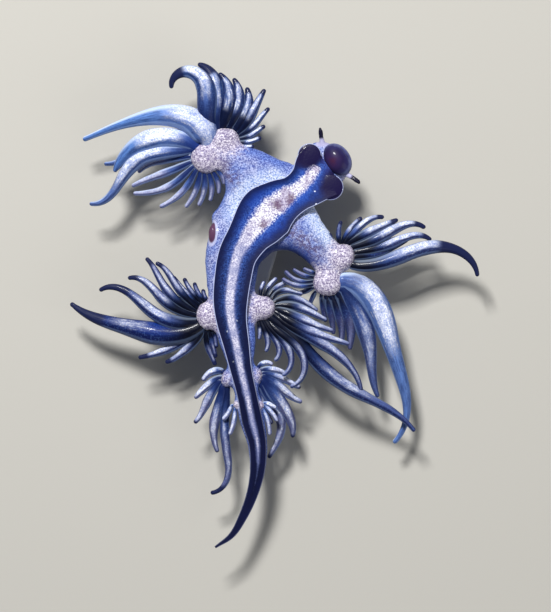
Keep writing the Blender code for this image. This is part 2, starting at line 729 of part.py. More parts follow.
def main():
    clear_scene()
    for name, first, last in LENGTHS:
        body_length(name, first, last, depth=None if first else SOLE_DEPTH)
    papilla = ellipsoid("papilla", PAPILLA_AT, PAPILLA_SEMI, PAPILLA_TURN, "body_navy", 10)
    combine(bpy.data.objects["torso_front"], [papilla], "UNION")
    combine(bpy.data.objects["foot_front"], [mouth_ball("swollen", TOUCH_GAP)], "DIFFERENCE")
    for name in ARMS:
        pads = [fan for fan in FANS if fan.startswith(name.replace("arm", "gills"))]
        cutters = [swollen_body(0, 11), oval_loft("swollen", HEAD, TOUCH_GAP)]
        cutters += [gill_fan(pad, TOUCH_GAP) for pad in pads]
        combine(oval_loft(name, ARMS[name]), cutters, "DIFFERENCE")
    for name in FANS:
        cutters = [swollen_body(1, 21)]
        cutters += [gill_fan(other, TOUCH_GAP) for other in NEIGHBOURS.get(name, ())]
        combine(gill_fan(name), cutters, "DIFFERENCE")
    mouth()
    head()
    for name in FEELERS:
        feeler(name)
    stand()


main()
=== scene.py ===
"""The looks of a blue dragon sea slug that floats foot up, life size, on a small display stand.

The skin is one closed surface: flanks, arms, pads, head and feelers melted together, with the
foot's thin sheet laid on top. The gill fingers (cerata) of each fan are one piece, and the domed
mouth is another. Shapes are worked out in millimetres and finished in metres. Seen from above,
the animal's right side is on the left (-X).
"""

import math
import random
from functools import partial
from typing import NamedTuple

import bmesh
import bpy
import numpy as np
from mathutils import Matrix, Vector, noise


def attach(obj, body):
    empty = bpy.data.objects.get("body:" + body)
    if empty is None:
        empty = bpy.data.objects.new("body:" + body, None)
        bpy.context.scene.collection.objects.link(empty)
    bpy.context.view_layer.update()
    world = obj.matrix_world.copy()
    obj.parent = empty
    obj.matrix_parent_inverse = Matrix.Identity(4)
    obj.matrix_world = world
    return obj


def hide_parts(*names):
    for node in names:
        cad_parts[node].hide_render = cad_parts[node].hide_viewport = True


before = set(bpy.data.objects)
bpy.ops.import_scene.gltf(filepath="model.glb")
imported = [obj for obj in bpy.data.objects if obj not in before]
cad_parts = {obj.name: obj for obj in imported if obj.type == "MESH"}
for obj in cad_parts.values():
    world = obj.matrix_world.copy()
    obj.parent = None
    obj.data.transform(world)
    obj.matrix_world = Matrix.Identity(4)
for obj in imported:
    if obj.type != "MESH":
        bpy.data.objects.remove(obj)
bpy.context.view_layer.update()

MM = 0.001
UP = Vector((0, 0, 1))

# Photograph: how much it shows, and the model's place in it
PHOTO_HEIGHT = 61.2
PHOTO_CENTRE = Vector((2.95, -4.4, 7.0))
CAMERA_HEIGHT = 420.0
SENSOR = 36.0

# Studio
FLOOR_SIZE = 0.6  # in metres
LIT_AT = Vector((0, 0, 6))

# Skin
MELT_VOXEL = 0.3  # the coarse pass that rounds the joins of arms and body
MELT_SMOOTHING = 16
SKIN_VOXEL = 0.17
SKIN_SMOOTHING = 3
RELAX = 0.5  # how far a round of smoothing moves each point
PAD_SMOOTHING = 40
SOFTENED = (2.1, 1.4)  # where the smoothing round a centre begins and is whole, in its radii
LUMP_SIZE = 0.62  # spacing and height of the low lumps on flanks and arms
LUMP_HEIGHT = 0.04
LUMPS_BELOW = -0.4  # measured from the sole
FEELER_START = 0.3  # the share of a feeler that still belongs to the head
PAD_GRAIN = 0.3
PAD_GRAIN_HEIGHT = 0.05
PAD_DEPTH = 1.2
PAD_BULGE = 1.15  # depth of a small pad, as a share of its long half
TAIL_PAD_SHARE = 0.6  # how far the velvet reaches on the small pads of the tail
FEELER_REACH = 0.75  # how far from its line a feeler has its own colours
SPINE_SAMPLES = 700
MARKED_AT_ONCE = 4000  # skin points, to spare memory
FLANK_START = 0.5  # station where the body under the foot begins
FLANK_SIDES = 40
FLANK_REACH = 4  # how far from the spine the left flank's blue goes
FLANK_RINGS = 110
OVAL_SIDES = 44
OVAL_RINGS = 40

# Foot
FLANGE = 0.5  # how far below the sole the flanks begin
FLANGE_SHARE = 0.16  # and at most this share of the body's depth
RIM = 0.17  # thickness of the foot's free edge
RIM_SHARE = 0.4  # and at most this share of the body's depth
RIM_CRISPNESS = 0.4  # 1 for a round edge, 0 for a square one
FOOT_DEPTH = 0.5  # how much deeper the sheet is in the middle
HOLLOW = 0.12  # how far the sole dips in the middle
FOOT_SIDES = 56
FOOT_RINGS = 150
LOBE_TOP = 7.74
LOBE_HALF = 0.13
LOBE_SIDES = 40
LOBE_SMOOTHING = 4
LOBES = ((6.35, 10.65, 1.2), (8.45, 7.45, 1.3))  # the rounded front corners: x, y and radius
DARK_CORNERS = ((6.2, 10.8, 1.9), (8.9, 7.6, 1.9))  # the plum colour in them: x, y and radius
STRIPE = (  # the silver stripe: station, half its width, and its shift towards the animal's right
    (1.2, -0.3, 0.4), (2.0, 0.4, 0.5), (3.0, 0.6, 0.45), (4.0, 0.75, 0.25), (5.0, 1.0, 0.1),
    (6.0, 1.1, 0.0), (7.0, 0.95, 0.0), (8.0, 0.75, 0.0), (9.0, 0.55, 0.0), (11.0, 0.52, 0.05),
    (13.0, 0.42, 0.0), (15.0, 0.32, 0.0), (17.0, 0.2, 0.0), (19.0, -0.2, 0.0),
)
BLOTCHES = ((3.1, 5.7, 0.9), (1.7, 3.75, 0.7), (4.5, 6.3, 0.9))  # plum spots on it: x, y and radius

# Lines of dark violet grains on the arms
DUSK = (((4.2, 3.3), (5.6, 2.3), (7.2, 1.0)), ((-2.0, 9.6), (-1.2, 8.2)))

# Cerata
GILL_SETBACK = 0.75  # how far inside its pad a ceras starts, as a share of the way in
GILL_SETTLE = 2.0  # length over which it rises or sinks to its own height
GILL_FLATNESS = 0.8  # its height over its width
ROOT_SHARE = 0.65  # a root's girth, as a share of the widest
SWELL_SHARE = 0.7  # where it is widest, as a share of the way to where the taper starts
SUNK_SHARE = 0.8  # girth inside the pad, as a share of the root's
TIP_RADIUS = 0.2  # radius of a tip: this much, and a share of the girth
TIP_SHARE = 0.02
TIP_END = 0.02  # what the last ring keeps of it, squared
TAPER_END = 0.97  # share of the length where the taper is down to the tip's radius
WAVE_HEIGHT = 0.035
WAVE_RATE = 2.5  # how fast a ceras swells and narrows, in radians per girth of length
ROOT_SPREAD = (0.85, 1.15)  # how much the dark roots and tips differ within a fan
TIP_SPREAD = (0.98, 1.02)
SEED = 7
LINE_STEPS = 96
GILL_SIDES = 18
GILL_RINGS = 40
RING_CROWDING = 1.6  # how much closer the rings lie towards the tip
CREST_WAY = Vector((-0.1, 0.55, 0.83)).normalized()  # the silver crest leans towards the head and the light: partly pigment, partly painted highlight
LIGHT_SIDE_WAY = Vector((-0.2, 0.96, 0.2)).normalized()  # and a painted highlight falls on this side, towards the light
CERAS_MARKS = (
    "along", "run", "across", "crest", "lit", "tone", "root_end", "streak_start", "streak_end",
    "tip_start", "silver", "pale", "blue",
)
SKIN_MARKS = (
    "station", "margin", "stripe", "lobe", "blotch", "below", "pad", "feeler", "papilla", "blue",
    "navy", "bright", "dusk", "facing",
)


class Station(NamedTuple):
    """A cross-section of the body: its place, the sole's height, and sizes of sole and flanks."""

    x: float
    y: float
    top: float
    foot: float
    flank: float
    depth: float
    lean: float = 0.0


STATIONS = (
    Station(8.3, 9.5, 7.6, 2.0, 1.2, 2.2),
    Station(7.95, 9.25, 7.7, 2.65, 1.4, 2.5),
    Station(7.35, 8.85, 7.8, 2.9, 1.6, 2.8),
    Station(6.2, 7.7, 7.9, 2.25, 1.8, 3.1),
    Station(4.9, 6.8, 8.0, 1.95, 2.0, 3.3),
    Station(3.4, 5.95, 8.0, 2.4, 2.6, 3.6),
    Station(2.2, 5.0, 8.0, 2.85, 3.0, 3.8, -0.2),
    Station(1.2, 3.8, 8.0, 2.65, 3.3, 3.8, -0.4),
    Station(0.15, 2.4, 8.0, 2.15, 3.3, 3.8, -0.55),
    Station(-0.85, 0.65, 8.0, 1.95, 2.85, 3.7, -0.45),
    Station(-1.3, -1.5, 8.0, 1.86, 2.55, 3.5, -0.2),
    Station(-1.55, -3.8, 8.0, 1.75, 2.35, 3.3, 0.1),
    Station(-1.45, -5.8, 7.9, 1.55, 2.2, 3.1, 0.2),
    Station(-0.98, -8.2, 7.8, 1.33, 1.8, 2.7, 0.2),
    Station(-0.5, -10.75, 7.6, 1.1, 1.25, 2.3, 0.05),
    Station(0.1, -13.3, 7.4, 1.0, 1.25, 2.1),
    Station(0.6, -15.8, 7.1, 1.03, 1.25, 1.9),
    Station(1.15, -18.2, 6.8, 0.87, 1.0, 1.6),
    Station(1.15, -20.8, 6.5, 0.75, 0.8, 1.3),
    Station(0.6, -23.3, 6.2, 0.58, 0.6, 1.0),
    Station(-0.35, -25.6, 6.0, 0.44, 0.45, 0.75),
    Station(-1.45, -27.4, 5.9, 0.3, 0.3, 0.6),
    Station(-3.1, -28.6, 5.9, 0.12, 0.12, 0.3),
)


class Rib(NamedTuple):
    """An oval cross-section of an arm or the head: two side edges, height and half depth."""

    right: tuple
    left: tuple
    z: float
    high: float


ARMS = {
    "arm_front_right": (
        Rib((5.6, 8.3), (-2.4, 2.0), 5.7, 1.25),
        Rib((4.7, 9.75), (-3.5, 4.3), 5.8, 1.35),
        Rib((3.3, 10.3), (-2.7, 5.6), 5.85, 1.45),
        Rib((1.6, 11.1), (-2.1, 7.2), 5.95, 1.4),
        Rib((-0.3, 11.9), (-2.6, 9.2), 6.05, 1.25),
        Rib((-2.1, 12.7), (-4.4, 10.2), 6.1, 1.0),
    ),
    "arm_front_left": (
        Rib((5.2, 6.5), (0.5, -0.1), 6.05, 1.5),
        Rib((6.5, 5.9), (1.8, 0.6), 6.15, 1.4),
        Rib((7.1, 5.1), (3.0, 1.1), 6.15, 1.4),
        Rib((7.6, 4.1), (4.4, 1.1), 6.15, 1.35),
        Rib((8.3, 3.1), (5.8, 0.3), 6.1, 1.3),
        Rib((9.2, 1.9), (6.8, -0.8), 6.05, 1.15),
        Rib((9.8, 0.7), (7.7, -1.6), 6.1, 1.0),
    ),
}

HEAD = (
    Rib((3.7, 8.2), (6.6, 5.9), 6.05, 1.4),
    Rib((5.0, 9.8), (8.1, 6.9), 5.95, 1.35),
    Rib((5.9, 11.2), (9.5, 7.9), 5.95, 1.3),
    Rib((6.9, 12.0), (10.2, 8.8), 6.1, 1.15),
    Rib((8.0, 12.0), (10.3, 9.7), 6.3, 0.9),
    Rib((8.9, 11.6), (10.1, 10.5), 6.5, 0.5),
)

MOUTH_AT = Vector((9.15, 10.25, 6.9))
MOUTH_SEMI = Vector((1.3, 1.75, 1.1))
MOUTH_TURN = 34.0
MOUTH_SIDES = 72
MOUTH_GAP = 0.06  # between the mouth and the foot
LIP_TILT = math.radians(40)
LIP_RISE = 0.15  # how far the line between the lips lies from the mouth's middle
LIP_HALF = 1.5  # half its length
LIP_WIDTH = 0.13
LIP_DEPTH = 0.16

PAPILLA_AT = Vector((-3.35, 2.9, 6.5))
PAPILLA_SEMI = Vector((0.42, 0.95, 0.6))
PAPILLA_TURN = -8.0


class Feeler(NamedTuple):
    """A short round tentacle: its root inside the head, its tip, and how far it bows on the way."""

    root: tuple
    tip: tuple
    bow: tuple = (0.0, 0.0, 0.0)


FEELER_RADII = (0.5, 0.46, 0.36, 0.27, 0.25, 0.25, 0.16)
FEELER_ROUND = 0.93  # where its round tip begins
FEELER_END = 0.04  # what the last ring keeps of the radius, squared
FEELER_SIDES = 20
FEELER_RINGS = 25
FEELERS = {
    "oral_tentacle_right": Feeler((7.9, 10.7, 6.2), (7.4, 13.5, 7.15), (-0.05, 0.0, 0.15)),
    "oral_tentacle_left": Feeler((8.9, 9.3, 6.2), (11.5, 7.8, 7.15), (0.1, 0.1, 0.15)),
    "rhinophore_right": Feeler((6.35, 9.2, 5.6), (6.0, 9.6, 3.3)),
    "rhinophore_left": Feeler((7.65, 8.25, 5.6), (7.95, 7.95, 3.3)),
}


class Pad(NamedTuple):
    """The swollen end of an arm, that the cerata grow round."""

    at: tuple
    semi: tuple
    turn: float


class Dye(NamedTuple):
    """How a ceras is coloured, as shares of its length, and how silvery and how pale it is."""

    root: float  # where the navy root ends; it is darkened further as painted shade
    streak: tuple  # from where to where the silver streak runs
    tip: float  # where the dark tip begins
    silver: float
    pale: float
    blue: float = 0.0  # 0 for a lilac grey outer part, 1 for a steel blue one


class Ceras(NamedTuple):
    """One gill finger, named by its rank along the fan. Those between two of them are in between.

    Its direction at a share s of its length is heading + bend s + hook s³ + sway sin(2πs) degrees.
    """

    rank: float
    root: float
    heading: float
    length: float
    girth: float
    bend: float
    hook: float
    sway: float
    lift: float
    waist: float = 0.5  # where the taper starts
    taper: float = 1.0
    dye: Dye = None


class Fan(NamedTuple):
    pad: Pad
    sag: float
    cerata: tuple
    dye: Dye  # for the cerata without one of their own


FANS = {}
FANS["gills_front_right_fore"] = Fan(Pad((-2.25, 12.35, 6.25), (1.65, 1.2), 10), 0.6, (
    Ceras(0, -24, -30, 1.8, 0.45, 60, -20, 0, 0.2),
    Ceras(2, 0, 2, 2.9, 0.55, 75, -50, 0, 0.3),
    Ceras(3, 12, 20, 4.1, 0.7, 70, -50, 0, 0.4),
    Ceras(4, 24, 38, 5.1, 1.05, 60, -40, 4, 0.6),
    Ceras(5, 38, 58, 4.6, 1.35, 15, 40, -6, 0.3),
    Ceras(7, 97, 66, 5.8, 1.65, 36, 40, -2, 0.6),
    Ceras(8, 120, 91, 7.2, 1.8, -11, 89, 2, 0.2, 0.66, 1.0,
          Dye(0.36, (0.36, 0.76), 0.76, 0.9, 0.45, 1.0)),
    Ceras(9, 146, 123, 9.7, 2.0, -76, 238, -19, 0.9,
          dye=Dye(0.32, (0.4, 0.76), 0.76, 1.0, 0.5, 1.0)),
), Dye(0.42, (0.36, 0.86), 0.88, 1.0, 0.35, 0.9))
FANS["gills_front_right_hind"] = Fan(Pad((-4.1, 10.4, 6.2), (1.65, 1.5), 120), 1.6, (
    Ceras(0, 76, 103, 14.3, 3.1, 198, -100, 10, 0.5, 0.15, 1.45,
          Dye(0.02, (0.0, 0.36), 1.1, 0.8, 0.9, 1.0)),
    Ceras(1, 127, 153, 9.6, 2.2, 88, 5, -1, 0.2, 0.5, 0.7,
          Dye(0.2, (0.2, 0.6), 1.1, 1.0, 0.8, 1.0)),
    Ceras(2, 128, 168, 9.6, 1.2, 86, -80, -8, -0.9, 0.4, 1.0,
          Dye(0.25, (0.3, 0.6), 1.1, 0.5, 0.5, 0.8)),
    Ceras(3, 147, 190, 12.4, 1.5, 94, -117, -24, 0.3,
          dye=Dye(0.22, (0.24, 0.7), 1.1, 0.9, 0.6, 0.8)),
    Ceras(4, 172, 184, 5.6, 0.95, 4, 46, 1, -0.8),
    Ceras(5, 195, 206, 6.4, 0.85, -18, 20, 0, -0.6),
    Ceras(6, 215, 224, 6.8, 0.8, -36, -9, 5, -0.5),
    Ceras(8, 252, 263, 3.8, 0.65, -33, -2, 0, -0.6),
    Ceras(12, 315, 320, 1.7, 0.48, -42, -10, 0, -0.4),
), Dye(0.32, (0.45, 0.98), 1.1, 0.4, 0.6))
FANS["gills_front_left_fore"] = Fan(Pad((9.8, 0.45, 6.25), (1.5, 1.15), 75), 1.0, (
    Ceras(0, 124, 122, 1.6, 0.45, 16, -58, 0, 0.3),
    Ceras(2, 97, 68, 3.3, 0.6, -30, -2, 0, 0.4),
    Ceras(3, 86, 45, 4.9, 0.75, 12, -74, 1, 0.4),
    Ceras(4, 72, 28, 5.5, 1.0, -4, -1, 1, 0.5),
    Ceras(5, 48, 14, 7.8, 1.15, 59, -117, -4, 0.4),
    Ceras(6, 25, 8, 8.0, 1.1, 57, -112, -7, 0.0),
    Ceras(7, 4, 6, 5.6, 1.1, 30, -10, 0, -0.4),
    Ceras(8, -39, -10, 14.3, 1.55, 91, -169, 9, 0.2,
          dye=Dye(0.3, (0.34, 0.62), 0.63, 1.0, 0.3, 0.6)),
), Dye(0.34, (0.42, 0.84), 0.86, 1.0, 0.3, 0.5))
FANS["gills_front_left_hind"] = Fan(Pad((8.2, -2.1, 6.1), (1.6, 1.4), 0), 1.5, (
    Ceras(0, 8, -9, 19.0, 2.7, -128, 1, -22, -0.9, 0.2, 1.25,
          Dye(0.06, (0.08, 0.46), 1.1, 1.0, 0.95, 0.9)),
    Ceras(1, -20, -58, 11.7, 1.9, -48, 41, 8, -1.1, 0.4, 1.0,
          Dye(0.15, (0.22, 0.72), 1.1, 0.75, 0.5, 0.6)),
    Ceras(2, -46, -64, 5.9, 1.4, -23, -11, 6, -1.3),
    Ceras(3, -76, -67, 5.0, 1.0, -11, -24, 4, -1.4),
    Ceras(5, -118, -84, 2.7, 0.55, 8, 4, 0, -1.5),
    Ceras(6, -145, -117, 1.8, 0.5, 5, 12, 0, -1.9),
    Ceras(7, -162, -153, 1.7, 0.5, -8, -25, 0, -1.9),
    Ceras(8, -173, -164, 3.2, 0.52, -58, 2, 0, 0.6),
    Ceras(9, -187, -163, 3.1, 0.52, -82, 12, 0, 0.6),
    Ceras(11, -218, -196, 1.4, 0.48, -12, -3, 0, 0.7),
), Dye(0.3, (0.4, 0.9), 1.1, 0.4, 0.35))
FANS["gills_rear_right"] = Fan(Pad((-3.95, -5.45, 6.1), (1.5, 1.15), 95), 1.3, (
    Ceras(0, 84, 128, 1.4, 0.45, -22, -26, 0, 0.2),
    Ceras(3, 124, 141, 3.9, 0.6, -20, 5, 0, 0.3),
    Ceras(4, 139, 138, 6.2, 0.85, -46, 70, 6, 0.4),
    Ceras(5, 155, 159, 7.5, 0.95, -82, 60, 4, 0.5),
    Ceras(6, 174, 171, 8.0, 1.1, -108, 138, 6, 0.4),
    Ceras(7, 208, 196, 10.9, 1.5, -158, 182, 2, 0.3, 0.3, 1.0,
          Dye(0.3, (0.32, 0.64), 0.7, 1.0, 0.2, 0.6)),
    Ceras(8, 232, 214, 13.7, 2.3, -102, 27, -12, -0.2, 0.36, 0.95,
          Dye(0.24, (0.44, 0.62), 0.72, 0.8, 0.0, 1.0)),
    Ceras(9, 243, 216, 7.0, 0.95, -18, -8, 3, -0.5),
    Ceras(10, 252, 257, 5.1, 0.85, -78, 12, -11, -0.5),
    Ceras(11, 268, 264, 3.6, 0.65, 60, -36, 0, -0.5),
    Ceras(13, 296, 292, 1.9, 0.48, -30, 12, 0, -0.2),
), Dye(0.4, (0.42, 0.84), 0.86, 0.8, 0.3, 0.3))
FANS["gills_rear_left"] = Fan(Pad((1.75, -4.6, 6.3), (1.3, 1.3), 0), 1.1, (
    Ceras(0, 103, 95, 1.5, 0.45, -52, 24, 0, -0.5),
    Ceras(2, 66, 58, 2.8, 0.55, -52, 8, 0, -0.6),
    Ceras(3, 47, 65, 3.4, 0.65, -150, 75, 0, -0.7),
    Ceras(4, 28, 30, 4.7, 0.8, -104, 42, 2, -0.5),
    Ceras(6, -5, -17, 6.1, 1.05, -18, 20, -2, 0.5),
    Ceras(7, -18, -35, 8.1, 1.15, 29, -13, -2, 0.5),
    Ceras(8, -31, -40, 11.9, 1.2, 36, -78, 3, 0.4),
    Ceras(9, -53, -34, 18.5, 1.5, 2, -21, -14, 0.1,
          dye=Dye(0.36, (0.42, 0.66), 1.1, 0.9, 0.25, 0.6)),
    Ceras(10, -68, -57, 8.8, 0.95, 39, -149, 12, 0.5),
    Ceras(12, -90, -64, 4.6, 0.8, 39, -126, 2, 0.0),
    Ceras(14, -113, -78, 2.0, 0.5, -13, -17, 0, 0.0),
), Dye(0.44, (0.46, 0.95), 1.0, 0.75, 0.3, 0.3))
FANS["gills_tail_right"] = Fan(Pad((-1.95, -11.7, 6.0), (1.0, 0.62), 80), 0.9, (
    Ceras(0, 115, 160, 2.5, 0.8, 102, -26, 0, -0.7),
    Ceras(1, 165, 207, 3.4, 0.85, 28, -6, 0, -0.7),
    Ceras(2, 200, 230, 5.0, 0.95, 42, -52, -2, -0.7),
    Ceras(3, 246, 267, 6.7, 1.15, -34, 63, -6, -0.9),
    Ceras(4, 273, 269, 11.5, 0.95, 52, -141, -14, -0.45,
          dye=Dye(0.2, (0.25, 0.75), 0.85, 0.8, 0.45, 0.2)),
), Dye(0.25, (0.3, 0.92), 0.96, 1.0, 0.55, 0.0))
FANS["gills_tail_left"] = Fan(Pad((1.1, -11.35, 6.0), (0.95, 0.62), 95), 0.9, (
    Ceras(0, 80, 48, 1.6, 0.55, -76, -28, 0, -0.1),
    Ceras(1, 50, 8, 2.5, 0.7, -35, 0, 0, -0.4),
    Ceras(2, 20, -8, 4.1, 0.8, -38, 22, 1, -0.7),
    Ceras(3, -12, -29, 4.7, 1.1, -27, 36, 0, -0.8),
    Ceras(4, -45, -48, 6.7, 1.45, -3, -52, -2, -0.8),
    Ceras(5, -68, -65, 8.4, 1.1, -18, -41, 16, -1.1),
    Ceras(6, -95, -65, 4.3, 0.6, -14, 15, 0, -1.0),
), Dye(0.25, (0.3, 0.92), 0.96, 1.0, 0.55, 0.0))
FANS["tuft_tail_right"] = Fan(Pad((-1.05, -14.3, 6.3), (0.5, 0.4), 90), 0.2, (
    Ceras(0, 190, 252, 1.7, 0.5, -26, -4, 0, 0.1),
    Ceras(1, 262, 270, 2.6, 0.55, -22, -6, 0, 0.1),
), Dye(0.0, (0.1, 1.0), 1.1, 0.9, 0.7))
FANS["tuft_tail_left"] = Fan(Pad((1.55, -14.3, 6.3), (0.5, 0.4), 90), 0.2, (
    Ceras(0, 30, -18, 1.2, 0.5, -18, 0, 0, 0.3),
    Ceras(2, -70, -62, 2.7, 0.52, -28, 0, 0, 0.1),
), Dye(0.0, (0.1, 1.0), 1.1, 0.9, 0.7))


def smooth_rows(rows, at):
    """Rows of numbers, read at places between them on a smooth curve through them."""
    rows = np.asarray(rows, float)
    rows = np.vstack([2 * rows[0] - rows[1], rows, 2 * rows[-1] - rows[-2]])
    at = np.asarray(at, float)
    i = np.minimum(at.astype(int), len(rows) - 4)
    t = (at - i)[:, None]
    a, b, c, d = (rows[i + k] for k in range(4))
    curve = 2 * b + (c - a) * t
    curve = curve + (2 * a - 5 * b + 4 * c - d) * t**2 + (3 * b - a - 3 * c + d) * t**3
    return curve / 2


def level(angle):
    """A level unit vector at an angle from +X, in degrees."""
    return Vector((math.cos(math.radians(angle)), math.sin(math.radians(angle)), 0))


def lengths(rows):
    return np.linalg.norm(rows, axis=1)


def smoothstep(low, high, value):
    t = np.clip((value - low) / (high - low), 0, 1)
    return t * t * (3 - 2 * t)


def tube(bm, rings, sides, section, **marks):
    """Adds a closed tube: a cylinder cut into rings, its vertices moved to section(ring, x, y).

    x and y go round the unit circle. A mark is a number, or found from ring, x and y.
    """
    upright = Matrix.Translation((0, 0, (rings - 1) / 2))
    made = bmesh.ops.create_cone(
        bm, cap_ends=True, segments=sides, radius1=1, radius2=1, depth=rings - 1, matrix=upright
    )
    edges = {edge for vert in made["verts"] for edge in vert.link_edges}
    edges = [edge for edge in edges if abs(edge.verts[0].co.z - edge.verts[1].co.z) > 0.5]
    bmesh.ops.subdivide_edges(bm, edges=edges, cuts=rings - 2)
    layers = bm.verts.layers.float
    placed = layers["placed"]
    for vert in [vert for vert in bm.verts if not vert[placed]]:
        vert[placed] = 1
        ring = round(vert.co.z)
        x, y = vert.co.x, vert.co.y
        for name, mark in marks.items():
            vert[layers[name]] = mark(ring, x, y) if callable(mark) else mark
        vert.co = section(ring, x, y)


def new_bmesh(*marks):
    bm = bmesh.new()
    for name in ("placed", *marks):
        bm.verts.layers.float.new(name)
    return bm


def new_object(name, data):
    obj = bpy.data.objects.new(name, data)
    bpy.context.scene.collection.objects.link(obj)
    return obj


def to_object(name, bm):
    """Ends a bmesh as an object whose mesh is still in millimetres."""
    bmesh.ops.recalc_face_normals(bm, faces=bm.faces)
    mesh = bpy.data.meshes.new(name)
    bm.to_mesh(mesh)
    bm.free()
    return new_object(name, mesh)


def finish_piece(obj, material, nodes):
    """Brings a piece to metres, gives it its material and its place on the frame."""
    obj.data.transform(Matrix.Diagonal((MM, MM, MM, 1)))
    obj.data.materials.clear()
    obj.data.materials.append(material)
    obj.data.shade_smooth()
    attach(obj, "root")
    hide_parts(*nodes)


def apply_modifiers(obj):
    graph = bpy.context.evaluated_depsgraph_get()
    made = bpy.data.meshes.new_from_object(obj.evaluated_get(graph))
    obj.modifiers.clear()
    obj.data = made


def melt(obj, voxel, smoothing):
    """Turns overlapping closed shapes into one skin, with its creases rounded off."""
    remesh = obj.modifiers.new("melt", "REMESH")
    remesh.mode = "VOXEL"
    remesh.voxel_size = voxel
    smooth = obj.modifiers.new("relax", "SMOOTH")
    smooth.factor = RELAX
    smooth.iterations = smoothing
    apply_modifiers(obj)


# The body's line

LAST = len(STATIONS) - 1
SPINE_AT = np.linspace(0, LAST, SPINE_SAMPLES)
SPINE = smooth_rows(STATIONS, SPINE_AT)
SPINE_FORWARD = np.gradient(SPINE[:, :2], axis=0)
SPINE_FORWARD /= lengths(SPINE_FORWARD)[:, None]


def body_section(first, last, count):
    """The body at even stations, each with its level direction towards the animal's left."""
    shares = np.linspace(first, last, count) / LAST
    rows = []
    for pick in np.round(shares * (SPINE_SAMPLES - 1)).astype(int):
        here = Station(*(float(value) for value in SPINE[pick]))
        x, y = (float(value) for value in SPINE_FORWARD[pick])
        rows.append((here, Vector((-y, x, 0))))
    return rows


def add_flanks(bm):
    """The body under the foot, as ovals along the spine."""
    rows = body_section(FLANK_START, LAST, FLANK_RINGS)

    def section(ring, x, y):
        here, left = rows[ring]
        edge = min(FLANGE, FLANGE_SHARE * here.depth)
        half = (here.depth - edge) / 2
        middle = here.top - edge - half
        centre = Vector((here.x, here.y, middle)) + left * here.lean
        return centre + left * (here.flank * x) + UP * (half * y)

    tube(bm, FLANK_RINGS, FLANK_SIDES, section)


def add_ovals(bm, ribs):
    """An arm, or the head, as upright ovals that pass smoothly through its ribs."""
    flat = [(*rib.right, *rib.left, rib.z, rib.high) for rib in ribs]
    rows = smooth_rows(flat, np.linspace(0, len(ribs) - 1, OVAL_RINGS))

    def section(ring, x, y):
        ax, ay, bx, by, z, high = (float(value) for value in rows[ring])
        centre = Vector(((ax + bx) / 2, (ay + by) / 2, z))
        side = Vector((ax - bx, ay - by, 0)) / 2
        return centre + side * x + UP * (high * y)

    tube(bm, OVAL_RINGS, OVAL_SIDES, section)


def add_ball(bm, centre, semi, turn, sides=32):
    matrix = Matrix.Translation(centre) @ Matrix.Rotation(math.radians(turn), 4, "Z")
    matrix = matrix @ Matrix.Diagonal((*semi, 1))
    bmesh.ops.create_uvsphere(bm, u_segments=sides, v_segments=sides // 2, radius=1, matrix=matrix)


def pad_semi(pad):
    return (*pad.semi, min(PAD_DEPTH, PAD_BULGE * pad.semi[0]))


def add_feeler(bm, feeler):
    """A tentacle: a fleshy cone that narrows to an even finger with a round tip."""
    root, tip, bow = Vector(feeler.root), Vector(feeler.tip), Vector(feeler.bow)
    along = (tip - root).normalized()
    side = along.orthogonal().normalized()
    over = along.cross(side)
    at = np.linspace(0, len(FEELER_RADII) - 1, FEELER_RINGS)
    radii = smooth_rows([[radius] for radius in FEELER_RADII], at)

    def section(ring, x, y):
        share = ring / (FEELER_RINGS - 1)
        cap = max(0, (share - FEELER_ROUND) / (1 - FEELER_ROUND))
        radius = float(radii[ring][0]) * math.sqrt(max(FEELER_END, 1 - cap**2))
        centre = root.lerp(tip, share) + bow * (4 * share * (1 - share))
        return centre + (side * x + over * y) * radius

    tube(bm, FEELER_RINGS, FEELER_SIDES, section)


def add_masses(bm):
    add_flanks(bm)
    add_ovals(bm, HEAD)
    for ribs in ARMS.values():
        add_ovals(bm, ribs)
    for fan in FANS.values():
        add_ball(bm, Vector(fan.pad.at), pad_semi(fan.pad), fan.pad.turn)
    add_ball(bm, PAPILLA_AT, PAPILLA_SEMI, PAPILLA_TURN)


def add_foot(bm):
    """The foot: a thin sheet with a sharp rim, thicker in the middle, and its two front lobes."""
    rows = body_section(0, LAST, FOOT_RINGS)

    def section(ring, x, y):
        here, left = rows[ring]
        narrow = min(1, here.foot)
        rim = min(RIM, RIM_SHARE * here.depth)
        crisp = math.copysign(abs(y) ** RIM_CRISPNESS, y)
        height = here.top - rim / 2
        if y > 0:
            height += crisp * (rim / 2) - HOLLOW * narrow * (1 - x**4)
        else:
            height += crisp * (rim / 2 + FOOT_DEPTH * narrow * (1 - x * x))
        return Vector((here.x, here.y, height)) + left * (here.foot * x)

    tube(bm, FOOT_RINGS, FOOT_SIDES, section)


def lobe(x, y, radius):
    """A rounded front corner of the foot, as thin as the sheet's rim."""
    bm = new_bmesh()
    add_ball(bm, Vector((x, y, LOBE_TOP - LOBE_HALF)), (radius, radius, LOBE_HALF), 0, LOBE_SIDES)
    return to_object("lobe", bm)


def unite(obj, others, operation="UNION"):
    """Joins others to obj, or cuts them from it, and removes them."""
    for other in others:
        boolean = obj.modifiers.new("unite", "BOOLEAN")
        boolean.operation = operation
        boolean.object = other
        boolean.solver = "MANIFOLD"
    apply_modifiers(obj)
    for other in others:
        bpy.data.objects.remove(other)


def mouth_ball(grow=0.0):
    bm = new_bmesh()
    add_ball(bm, MOUTH_AT, [semi + grow for semi in MOUTH_SEMI], MOUTH_TURN, MOUTH_SIDES)
    return to_object("mouth", bm)


def near_line(co, line, far, close):
    """How near each point is to a line, seen from above: 0 when far and 1 when close."""
    best = np.full(len(co), np.inf)
    for start, end in zip(line, line[1:]):
        start, way = np.array(start), np.array(end) - np.array(start)
        share = np.clip((co[:, :2] - start) @ way / (way @ way), 0, 1)
        best = np.minimum(best, lengths(co[:, :2] - start - share[:, None] * way))
    return smoothstep(far, close, best)


